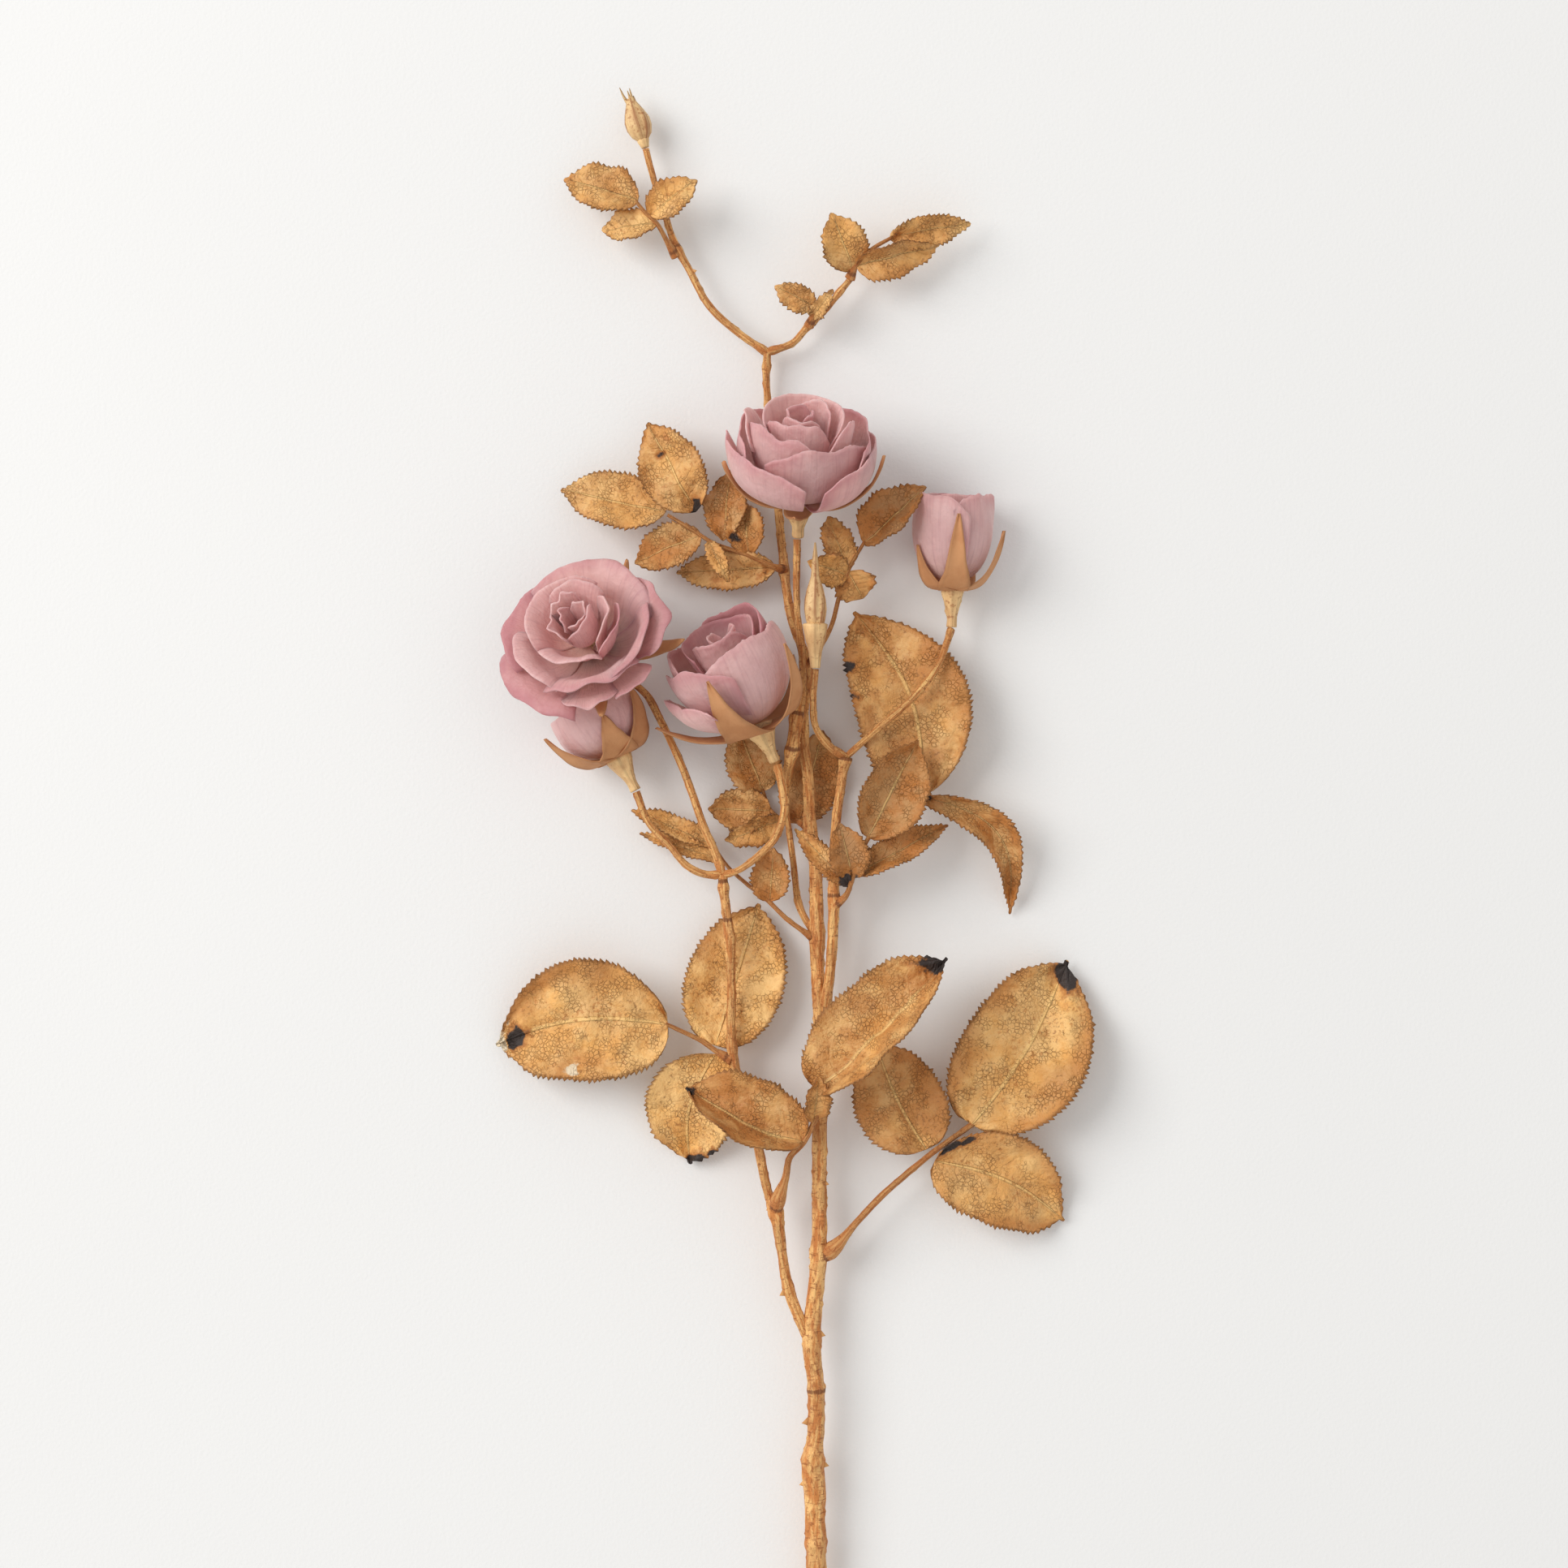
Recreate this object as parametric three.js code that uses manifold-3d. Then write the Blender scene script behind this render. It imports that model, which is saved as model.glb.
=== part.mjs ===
// A cut spray rose lying on a flat surface: one branching stem with three blooms, two
// opening buds, two closed buds and dried, curled compound leaves.
// Millimetres, +Z up. The stem runs along Y with its cut end at -Y and its blooms towards
// +Y. The origin is the middle of the footprint, on the surface the spray rests on.

import * as THREE from 'three';
import { mergeVertices } from 'three/addons/utils/BufferGeometryUtils.js';
import Module from 'manifold-3d';

const wasm = await Module();
wasm.setup();

// Driving dimensions
const LEAF_THICKNESS = 0.8;
const SEPAL_THICKNESS = 0.8;
const PETAL_THICKNESS = 0.55;
const PETIOLE_RADIUS = 0.75;
const JOINT_GAP = 0.3;

// Mesh density
const STEM_SIDES = 8;
const PETIOLE_SIDES = 6;
const LEAF_CELLS = [5, 2];
const PETAL_CELLS = [5, 4];
const SEPAL_CELLS = [4, 1];
const HIP_SIDES = 8;

const material = (color, roughness) => new THREE.MeshStandardMaterial({ color, roughness, metalness: 0 });
const bark = material(0xc68f52, 0.8);
const leafTan = material(0xc8965c, 0.85);
const petalPink = material(0xcf9ea3, 0.75);
const hipCream = material(0xdcc08c, 0.6);
const budGreen = material(0xc2a060, 0.7);

const vec = (x, y, z) => new THREE.Vector3(x, y, z);
const radians = THREE.MathUtils.degToRad;
const spray = new THREE.Group();

// ---- Solids ---------------------------------------------------------------------------

function toSolid(geometry) {
  const bare = geometry.clone();
  bare.deleteAttribute('normal');
  bare.deleteAttribute('uv');
  const merged = mergeVertices(bare, 1e-4);
  return new wasm.Manifold(new wasm.Mesh({
    numProp: 3,
    vertProperties: new Float32Array(merged.attributes.position.array),
    triVerts: new Uint32Array(merged.index.array),
  }));
}

function toGeometry(solid) {
  const mesh = solid.getMesh();
  const geometry = new THREE.BufferGeometry();
  geometry.setAttribute('position', new THREE.BufferAttribute(new Float32Array(mesh.vertProperties), 3));
  geometry.setIndex(new THREE.BufferAttribute(new Uint32Array(mesh.triVerts), 1));
  geometry.computeVertexNormals();
  return geometry;
}

// The largest piece that is left when the solids in cutters are taken away.
function trimmed(solid, cutters) {
  const cut = cutters.reduce((rest, cutter) => rest.subtract(cutter), solid);
  const pieces = cut.decompose();
  return pieces.reduce((best, piece) => (piece.volume() > best.volume() ? piece : best));
}

function addNode(name, solid, look, parent = spray) {
  const mesh = new THREE.Mesh(toGeometry(solid), look);
  mesh.name = name;
  parent.add(mesh);
}

// Moves every vertex of a geometry to place(x, y, z).
function shaped(geometry, place) {
  const position = geometry.attributes.position;
  for (let i = 0; i < position.count; i += 1) {
    const p = place(position.getX(i), position.getY(i), position.getZ(i));
    position.setXYZ(i, p.x, p.y, p.z);
  }
  return geometry;
}

// A round rod through points [x, y, z, radius]; grow adds to every radius.
function rod(points, { grow = 0, sides = STEM_SIDES } = {}) {
  const curve = new THREE.CatmullRomCurve3(points.map(([x, y, z]) => vec(x, y, z)), false, 'centripetal');
  const radiusAt = (t) => {
    const place = t * (points.length - 1);
    const before = Math.min(Math.floor(place), points.length - 2);
    return THREE.MathUtils.lerp(points[before][3], points[before + 1][3], place - before) + grow;
  };
  return toSolid(shaped(new THREE.CylinderGeometry(1, 1, 1, sides, points.length - 1), (x, y, z) => {
    const t = THREE.MathUtils.clamp(y + 0.5, 0, 1);
    const along = curve.getTangent(t);
    const side = vec(0, 0, 1).cross(along).normalize();
    const up = side.clone().cross(along);
    const radius = radiusAt(t);
    return curve.getPoint(t).addScaledVector(side, x * radius).addScaledVector(up, z * radius);
  }));
}

// ---- Stems ----------------------------------------------------------------------------

// Centreline points [x, y, z, radius], from the cut or joined end outwards.
const stems = {
  main_stem: [
    [8.5, -280.5, 3.65, 3.5], [8, -230, 5.2, 3.5], [7.3, -177.5, 7.8, 3.4], [6.8, -154.2, 8.8, 3.2],
    [6.2, -144.6, 9.2, 3.5], [7, -136, 9.5, 2.75], [7.2, -121.8, 10, 2.7], [5.8, -107.7, 10.5, 2.9],
    [8, -79.6, 10.5, 2.5], [8.2, -50.5, 10.5, 2.35], [8.7, -18.3, 10.5, 2.15], [7.7, 7.3, 10.5, 2.2],
    [7.4, 19.8, 10.5, 2.3], [7, 38.4, 10.5, 2.1], [5.2, 54, 10.5, 1.95], [4.7, 66.5, 10.5, 1.85],
    [3.4, 77, 10.5, 1.75], [3.3, 87.1, 10.2, 1.7], [4.4, 98.1, 9.8, 1.65], [3, 107.2, 9.2, 1.55],
    [0, 115.3, 8.6, 1.5], [-1.8, 124.4, 7.6, 1.45], [-3, 135, 6, 1.4], [-4.5, 150.8, 3.8, 1.35],
    [-6, 166, 3, 1.3], [-7.2, 178.1, 3.6, 1.25], [-8.2, 191.1, 5.2, 1.2], [-8, 199.5, 6.3, 1.3],
  ],
  left_side_stem: [
    [5.8, -108.7, 10.5, 1.9], [-1.2, -91, 11, 1.75], [-3.5, -78.4, 11.5, 1.6], [-5.2, -67, 12, 2.1],
    [-7.7, -60.5, 12, 1.5], [-11, -45.3, 12, 1.5], [-13, -38.3, 12, 1.5], [-18.5, -18.2, 12, 1.45],
    [-19, 3.4, 12.5, 1.45], [-19.7, 18.9, 13, 1.65], [-21.5, 33.9, 13, 1.45], [-21.8, 37.5, 13, 1.55],
  ],
  open_rose_stalk: [
    [-21.8, 37.5, 13, 1.2], [-23.5, 43, 13, 1.3], [-27.7, 53, 13, 1.3], [-34.1, 70.5, 12, 1.2],
    [-41.1, 85.6, 11.6, 1.2], [-45.5, 93.3, 11.4, 1.2], [-51.2, 97.8, 10.8, 1.2],
    [-56.2, 100.2, 10.6, 1.3], [-59.2, 101.3, 11.4, 1.4],
  ],
  left_bud_stalk: [
    [-21.8, 37.5, 13, 1.1], [-27, 37.7, 13, 1.2], [-32.6, 40.2, 13, 1.2], [-38.1, 46.5, 12.5, 1.1],
    [-44.6, 53.7, 12.5, 1.1], [-48.4, 63.1, 12.6, 1.3],
  ],
  centre_rose_stalk: [
    [-21.8, 37.5, 13, 1], [-17.5, 38.6, 14.8, 1.1], [-11.7, 42.5, 17, 1.2], [-5.5, 49, 18.3, 1.2],
    [-2.6, 57.5, 18.3, 1.3], [-3.6, 66.5, 17.4, 1.4], [-4.8, 71.4, 16.8, 1.4],
  ],
  top_rose_stalk: [
    [7, 18.3, 10.5, 1.1], [2, 27.8, 8.4, 1.1], [0.2, 40.8, 7.4, 1], [-1.3, 51.9, 7.2, 1],
    [-2.4, 60.7, 8.6, 1.1], [-1.6, 68.2, 11.8, 1.4], [-0.4, 75, 15.2, 2.1], [1.3, 86.5, 16.8, 2],
    [3, 96, 16.8, 1.2], [2.7, 106, 14.6, 1.1], [1.2, 120.6, 13, 1.1], [1.2, 132.2, 12.4, 1.1],
    [1.3, 141, 12.5, 1.3],
  ],
  right_side_stem: [
    [8.6, -12.3, 10.5, 1.4], [10, -3.2, 11.5, 1.7], [11.4, 7.4, 13.2, 1.7], [12.2, 18.5, 14.6, 1.7],
    [12.6, 28.2, 15, 1.8], [12.6, 40, 15, 1.6], [13.4, 54.5, 15, 1.5], [15, 66.5, 15.5, 1.5],
    [16.2, 73.7, 16, 1.7],
  ],
  right_bud_stalk: [
    [16.2, 73.7, 16, 1.1], [26.1, 82.5, 17.2, 1.1], [37.1, 92.2, 17, 1.1], [44.2, 101.2, 16, 1.1],
    [47.5, 109.1, 14.2, 1.1], [48.8, 113.2, 12, 1.3],
  ],
  closed_bud_stalk: [
    [16.2, 73.7, 16, 1.3], [10.5, 77.7, 18.5, 1.2], [6.8, 83.6, 20.4, 1.1], [6.2, 92.4, 21.2, 1.1],
    [6.8, 100.7, 21.2, 1.2],
  ],
  bud_twig: [
    [-8, 199.5, 6.3, 1.2], [-16.6, 205.2, 7, 1.2], [-25.9, 213.7, 7.5, 1.2], [-32.2, 225, 8, 1.2],
    [-36.4, 232.5, 8, 1.2], [-39.9, 242.6, 8, 1], [-43.4, 253.8, 8, 1], [-45.6, 262.3, 8, 1.1],
  ],
  leafy_twig: [
    [-8, 199.5, 6.3, 1.2], [-0.2, 202.2, 7, 1.2], [4.7, 207.4, 7.5, 1.1], [10.6, 213.1, 8, 1.1],
    [15.3, 218.9, 8.6, 1], [18.6, 222.8, 9, 1],
  ],
};

// Which stem each side shoot grows from.
const stemParents = {
  left_side_stem: 'main_stem',
  open_rose_stalk: 'left_side_stem',
  left_bud_stalk: 'left_side_stem',
  centre_rose_stalk: 'left_side_stem',
  top_rose_stalk: 'main_stem',
  right_side_stem: 'main_stem',
  right_bud_stalk: 'right_side_stem',
  closed_bud_stalk: 'right_side_stem',
  bud_twig: 'main_stem',
  leafy_twig: 'main_stem',
};

const clearOf = (name) => rod(stems[name], { grow: JOINT_GAP });

function addStems() {
  const placed = [];
  for (const [name, points] of Object.entries(stems)) {
    const siblings = placed.filter((other) => stemParents[other] === stemParents[name]);
    const cutters = [stemParents[name], ...siblings].filter(Boolean).map(clearOf);
    addNode(name, trimmed(rod(points), cutters), bark);
    placed.push(name);
  }
}

// ---- Leaves ---------------------------------------------------------------------------

// Half-width of a leaflet at u (0 at its base, 1 at its tip), as a share of the widest. The
// smaller full is, the rounder the leaflet.
const leafOutline = (u, full) => Math.max(0.07, Math.sin(Math.PI * u ** 0.85) ** full);

// One leaflet blade: roll turns it about its midrib, fold closes its halves like a book,
// cup curves them, and bow, sway and hook bend the midrib up, sideways and down at the tip.
// Angles in degrees, lengths in mm.
function leaflet({ base, tip, width, roll = 0, fold = 8, cup = 12, bow = 1.5, sway = 0, hook = 0, full = 0.62 }) {
  const start = vec(...base);
  const chord = vec(...tip).sub(start);
  const along = chord.clone().normalize();
  const flatSide = vec(0, 0, 1).cross(along).normalize();
  const flatUp = along.clone().cross(flatSide);
  const side = flatSide.clone().applyAxisAngle(along, radians(roll));
  const up = flatUp.clone().applyAxisAngle(along, radians(roll));
  return toSolid(shaped(new THREE.BoxGeometry(1, 1, 1, ...LEAF_CELLS, 1), (x, y, z) => {
    const u = x + 0.5;
    const across = 2 * y;
    const half = (width / 2) * leafOutline(u, full);
    const slope = radians(fold) + radians(cup) * Math.abs(across);
    const middle = radians(fold) + (radians(cup) * Math.abs(across)) / 2;
    const lateral = across * half * Math.cos(middle);
    const height = Math.abs(across) * half * Math.sin(middle);
    const bend = Math.sin(Math.PI * u);
    return start.clone().addScaledVector(chord, u)
      .addScaledVector(flatSide, sway * bend)
      .addScaledVector(flatUp, bow * bend - hook * u ** 3)
      .addScaledVector(side, lateral - z * LEAF_THICKNESS * Math.sin(slope) * Math.sign(across))
      .addScaledVector(up, height + z * LEAF_THICKNESS * Math.cos(slope));
  }));
}

// Compound leaves: the stem each grows from, how stout its stalk is against the usual one,
// its stalk [x, y, z] from that stem outwards, and its leaflets.
const leaves = {
  top_left_leaf: {
    stem: 'bud_twig',
    stalks: [
      [
        [-36.2, 229, 8.2], [-38.8, 233, 10.5], [-41.8, 238.3, 12], [-45.1, 241.4, 12.5],
        [-48.7, 245.6, 12.5],
      ],
    ],
    leaflets: [
      { base: [-47.7, 245.6, 12.5], tip: [-71.4, 253, 9], width: 15.5, roll: 15, cup: 25, hook: 2 },
      { base: [-44.3, 241.2, 12.5], tip: [-29.5, 251.6, 15], width: 12, roll: -10, cup: 20 },
      { base: [-41.9, 238.5, 12], tip: [-59.3, 237, 8], width: 10.5, roll: 20, cup: 25 },
    ],
  },
  top_right_leaf: {
    stem: 'leafy_twig',
    stalks: [
      [
        [17.6, 222, 9.4], [19.6, 226, 11.5], [24, 230.3, 13], [30.5, 234.1, 13.5],
      ],
    ],
    leaflets: [
      { base: [18.4, 224.2, 11], tip: [11.7, 241.5, 15], width: 15, roll: 12, cup: 25 },
      { base: [19.4, 225.5, 11.6], tip: [45.5, 232.3, 10], width: 13, roll: 35, fold: 25, cup: 15 },
      { base: [29.8, 234.2, 13.5], tip: [55.2, 238.9, 11], width: 10, roll: 25, cup: 20, hook: 1 },
    ],
  },
  twig_leaf: {
    stem: 'leafy_twig',
    stalks: [
      [
        [5, 207.6, 8], [6, 209.8, 10], [7.2, 213.1, 11.5],
      ],
    ],
    leaflets: [
      { base: [7, 212.7, 11.4], tip: [-5.7, 219.3, 12.5], width: 8.5, roll: -15, fold: 15 },
      { base: [5.6, 209.3, 9.8], tip: [12.4, 217.6, 16.5], width: 4.5, roll: 10, fold: 15 },
    ],
  },
  upper_left_leaf: {
    stem: 'main_stem',
    stalks: [
      [
        [-2.6, 132, 6.8], [-5.5, 132.6, 10], [-14, 136.2, 11.5], [-24.2, 139.7, 12.5],
        [-31.6, 144.3, 13], [-38.7, 148.5, 13],
      ],
    ],
    leaflets: [
      { base: [-39.1, 149.5, 13], tip: [-72.4, 156.8, 8], width: 18, roll: 10, cup: 22, hook: 2 },
      { base: [-30.2, 149.7, 13], tip: [-44.9, 177.2, 11], width: 20.5, roll: -12, cup: 20 },
      { base: [-28.5, 142.5, 12.8], tip: [-49.1, 133.9, 8], width: 14, roll: 12, cup: 25 },
      { base: [-5.5, 132.6, 9.6], tip: [-36.3, 131.1, 4], width: 12, roll: -6, cup: 10 },
      { base: [-26, 140.6, 12.6], tip: [-19.8, 127.6, 15.5], width: 5.5, fold: 20 },
      { base: [-21.6, 140.7, 12], tip: [-19.3, 163.3, 6], width: 13.5, roll: -15, cup: 20, full: 0.9 },
      { base: [-13.6, 136.2, 11.4], tip: [-15.1, 153, 8.5], width: 14, roll: -10, fold: 22, cup: 25 },
    ],
  },
  upper_right_leaf: {
    stem: 'main_stem',
    stalks: [
      [
        [4.4, 101.7, 9.6], [8.3, 107.6, 11], [11.8, 114.1, 12.5], [14.4, 123.6, 14], [17.4, 132, 14.5],
        [22.2, 140.4, 14.5],
      ],
    ],
    leaflets: [
      { base: [21.8, 139.6, 14.5], tip: [40.8, 156.8, 19.5], width: 18, roll: -30, fold: 25, cup: 15 },
      { base: [16.6, 130, 14.4], tip: [4.4, 133.8, 18.5], width: 11, roll: -10, fold: 15, cup: 25, bow: 2 },
      { base: [16.9, 131, 14.4], tip: [21.6, 122.7, 11.5], width: 13, roll: 10, cup: 20 },
      { base: [17, 131.4, 14.4], tip: [10.7, 148.3, 10.5], width: 10, roll: 10, cup: 15 },
    ],
  },
  right_leaf: {
    stem: 'right_side_stem',
    stalks: [
      [
        [12.6, 28, 15.2], [16.2, 31.1, 17], [18.2, 36.1, 18.5], [21.7, 46.1, 19], [29, 57.5, 15.5],
        [36.1, 61, 12.5], [40.5, 62, 11.5],
      ],
    ],
    leaflets: [
      { base: [40.1, 61.8, 11.6], tip: [19, 118.9, 6.5], width: 37, fold: 4, cup: 14, sway: -7, full: 0.5 },
      { base: [22.9, 49.1, 18.7], tip: [38.5, 79, 16], width: 23, roll: 15, fold: 18, cup: 25, bow: 2 },
      { base: [18.3, 36.5, 18.4], tip: [14.4, 53.6, 22], width: 13, roll: 10, fold: 10, cup: 25 },
      { base: [18.7, 37.7, 18.4], tip: [48.1, 52.9, 9], width: 11, roll: -15, fold: 16, cup: 24 },
      { base: [39.5, 61.8, 12], tip: [67.6, 24.9, 1.8], width: 12.5, fold: 16, cup: 26, bow: 3, sway: 12 },
      { base: [17.6, 34.1, 18], tip: [0.6, 51.8, 15.6], width: 8, fold: 28, cup: 10, bow: 1 },
    ],
  },
  middle_left_leaf: {
    stem: 'main_stem',
    stalks: [
      [
        [7.2, 17.3, 10.5], [3.5, 19.9, 12], [-2, 23.9, 12], [-8.2, 29.9, 10.5], [-14.1, 34.4, 9],
        [-20.1, 39.8, 8], [-24.5, 45.9, 7.6],
      ],
    ],
    leaflets: [
      { base: [-23.9, 46.4, 7.6], tip: [-50.2, 57.4, 5], width: 8, roll: 20, fold: 30, cup: 10 },
      { base: [-21.6, 41.7, 7.8], tip: [-47.6, 50.3, 5], width: 6, roll: 20, fold: 30, cup: 10 },
      { base: [-7.2, 29.1, 10.8], tip: [-6, 45.9, 11.5], width: 12.5, roll: -8, fold: 15, cup: 20 },
    ],
  },
  behind_leaf: {
    stem: 'main_stem',
    stalks: [
      [
        [5, 51.9, 9.5], [1.5, 53.9, 5.2], [-3, 54.3, 3.6], [-7, 57.4, 3.2], [-9.5, 64, 3.2],
      ],
    ],
    leaflets: [
      { base: [-9.3, 63, 3.2], tip: [-17.1, 83.6, 6], width: 16.5, roll: 6, cup: 15, bow: 0.5, full: 0.5 },
      { base: [-6.8, 57.2, 3.2], tip: [-26.4, 57.9, 3.4], width: 14, cup: 20, bow: 0.5 },
      { base: [2, 53.7, 5], tip: [9.3, 82.2, 4], width: 18, cup: 10, bow: 0.2, full: 0.5 },
      { base: [-3, 54.3, 3.8], tip: [-21.1, 47.9, 6.6], width: 9.5, roll: -25, fold: 15, cup: 25 },
    ],
  },
  lower_left_leaf: {
    stem: 'left_side_stem',
    stout: 1.15,
    stalks: [
      [
        [-18.6, -19.8, 11.6], [-23.1, -17.5, 10.4], [-28.6, -13.8, 10], [-39.4, -8.7, 10],
      ],
    ],
    leaflets: [
      { base: [-38.6, -8.9, 10], tip: [-92.3, -15.6, 4], width: 38, fold: 6, cup: 16,
        bow: 4, sway: -5, full: 0.5 },
      { base: [-24.1, -15.4, 10], tip: [-10.5, 28.3, 4.5], width: 30.5, cup: 10, bow: -1.5, full: 0.5 },
      { base: [-24.1, -18.4, 10], tip: [-32.1, -52.8, 3], width: 28, cup: 16,
        bow: 0.5, sway: -4, full: 0.42 },
    ],
  },
  lower_middle_leaf: {
    stem: 'left_side_stem',
    stout: 1.4,
    stalks: [
      [
        [-5.4, -66.5, 12.6], [-4.4, -62, 15], [-2.2, -55.3, 17.2], [-1, -49.2, 18.4],
        [3.4, -44.2, 19.4], [6.8, -37.5, 20], [9.7, -30.5, 20.4],
      ],
    ],
    leaflets: [
      { base: [3, -44.6, 19.4], tip: [-32.9, -27.8, 17.5], width: 30, roll: 31, fold: 31, cup: 24,
        bow: 2, sway: 2, full: 0.5 },
      { base: [7.5, -28.6, 20.4], tip: [47.1, 12.3, 22], width: 34, roll: -33, fold: 33, cup: 16,
        bow: 2, sway: -1.5, full: 0.4 },
      { base: [6.4, -38.1, 20], tip: [7.9, -23.8, 24.5], width: 8.5, roll: 20, fold: 20, cup: 20 },
    ],
  },
  lower_right_leaf: {
    stem: 'main_stem',
    stout: 1.35,
    stalks: [
      [
        [8, -81.1, 10.5], [13.1, -77.5, 11], [20.1, -69.4, 11.8], [28.1, -61.1, 12], [42.5, -49, 11.4],
        [56.2, -39.2, 10.8],
      ],
    ],
    leaflets: [
      { base: [41.3, -47.4, 11.4], tip: [25.7, -15, 8], width: 28, roll: 4, cup: 14, sway: 1.5, full: 0.45 },
      { base: [55.3, -39.9, 10.8], tip: [85.4, 10.7, 4], width: 40, cup: 14, bow: 3, sway: -2.6, full: 0.45 },
      { base: [43.8, -51, 11.4], tip: [84.6, -70.5, 2.2], width: 29, cup: 12, bow: 2, sway: 4, full: 0.5 },
    ],
  },
};

function addLeaves() {
  for (const [name, { stem, stout = 1, stalks, leaflets }] of Object.entries(leaves)) {
    const stalkSolids = stalks.map((points) => rod(
      points.map(([x, y, z]) => [x, y, z, PETIOLE_RADIUS * stout]),
      { sides: PETIOLE_SIDES },
    ));
    const whole = [...stalkSolids, ...leaflets.map(leaflet)].reduce((sum, piece) => sum.add(piece));
    addNode(name, trimmed(whole, [clearOf(stem)]), leafTan);
  }
}

// ---- Blooms ---------------------------------------------------------------------------

// The (radius, height) of a petal's or sepal's long curve at s, a cubic through four poles.
function cubic(poles, s) {
  const curve = new THREE.CubicBezierCurve(...poles.map(([x, y]) => new THREE.Vector2(x, y)));
  const point = curve.getPoint(s);
  const tangent = curve.getTangent(s);
  return { point, outward: new THREE.Vector2(tangent.y, -tangent.x) };
}

// A point at an angle round the bloom's axis: 0 is the right, 90 the front, in degrees.
const around = (angle, radius, height) => {
  const a = radians(angle);
  return vec(radius * Math.cos(a), height, radius * Math.sin(a));
};

// Petals are numbered from the heart outwards, and each starts lower and further out.
const petalPoles = (index, count, { radius, height, flare }) => {
  const foot = [1.2 + 0.32 * index, 0.8 * (count - index)];
  return [foot, [0.8 * radius, foot[1] + 0.5], [1.04 * radius, 0.55 * height], [radius + flare, height]];
};

// A petal: span is half the angle it wraps round, round is how far its corners drop.
function petal(index, count, shape) {
  const { angle, span, round = 0.28 } = shape;
  const poles = petalPoles(index, count, shape);
  return toSolid(shaped(new THREE.BoxGeometry(1, 1, 1, ...PETAL_CELLS, 1), (x, y, z) => {
    const across = 2 * y;
    const s = (x + 0.5) * (1 - round * Math.abs(across) ** 2.5);
    const { point, outward } = cubic(poles, s);
    point.addScaledVector(outward, z * PETAL_THICKNESS);
    return around(angle + span * across, Math.max(point.x, 0.3), point.y);
  }));
}

// The tight middle of a bloom, up to a blunt point.
function heart({ radius, height, foot }) {
  const profile = [[0, foot], [radius * 0.5, foot], [radius, foot + (height - foot) * 0.5],
    [radius * 0.85, foot + (height - foot) * 0.85], [0, height]];
  return toSolid(new THREE.LatheGeometry(profile.map(([r, h]) => new THREE.Vector2(r, h)), HIP_SIDES));
}

// The seed case under a bloom, with its neck towards the stalk.
function hip({ neck, rim, length }) {
  const profile = [[0, -length], [neck, -length], [neck * 1.15, -length * 0.75], [rim * 0.78, -length * 0.35],
    [rim, -1.6], [rim * 0.9, -0.5], [0, -0.3]];
  return toSolid(new THREE.LatheGeometry(profile.map(([r, h]) => new THREE.Vector2(r, h)), HIP_SIDES));
}

// A sepal follows the outside of the cup as far as reach, and lift bends it away from it.
function sepal(cup, { angle, reach, width, lift = 0, drop = 0, sway = 0 }) {
  const poles = [[cup.rim * 0.55, -1.1], [0.85 * cup.radius + 2.2, -1.6], [1.08 * cup.radius + 3, 0.5 * cup.height],
    [cup.radius + cup.flare + 3, cup.height]];
  return toSolid(shaped(new THREE.BoxGeometry(1, 1, 1, ...SEPAL_CELLS, 1), (x, y, z) => {
    const u = x + 0.5;
    const { point, outward } = cubic(poles, u * reach);
    const bend = u ** 2;
    point.x += lift * bend;
    point.y -= drop * bend;
    point.addScaledVector(outward, z * SEPAL_THICKNESS);
    const half = (width / 2) * Math.max(0.08, (1 - u) ** 0.8);
    return around(angle, point.x, point.y).add(around(angle + 90, 2 * y * half + sway * bend, 0));
  }));
}

const calyx = (shape) => shape.sepals.map((each) => sepal(shape, each))
  .reduce((sum, piece) => sum.add(piece), hip(shape));

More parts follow.
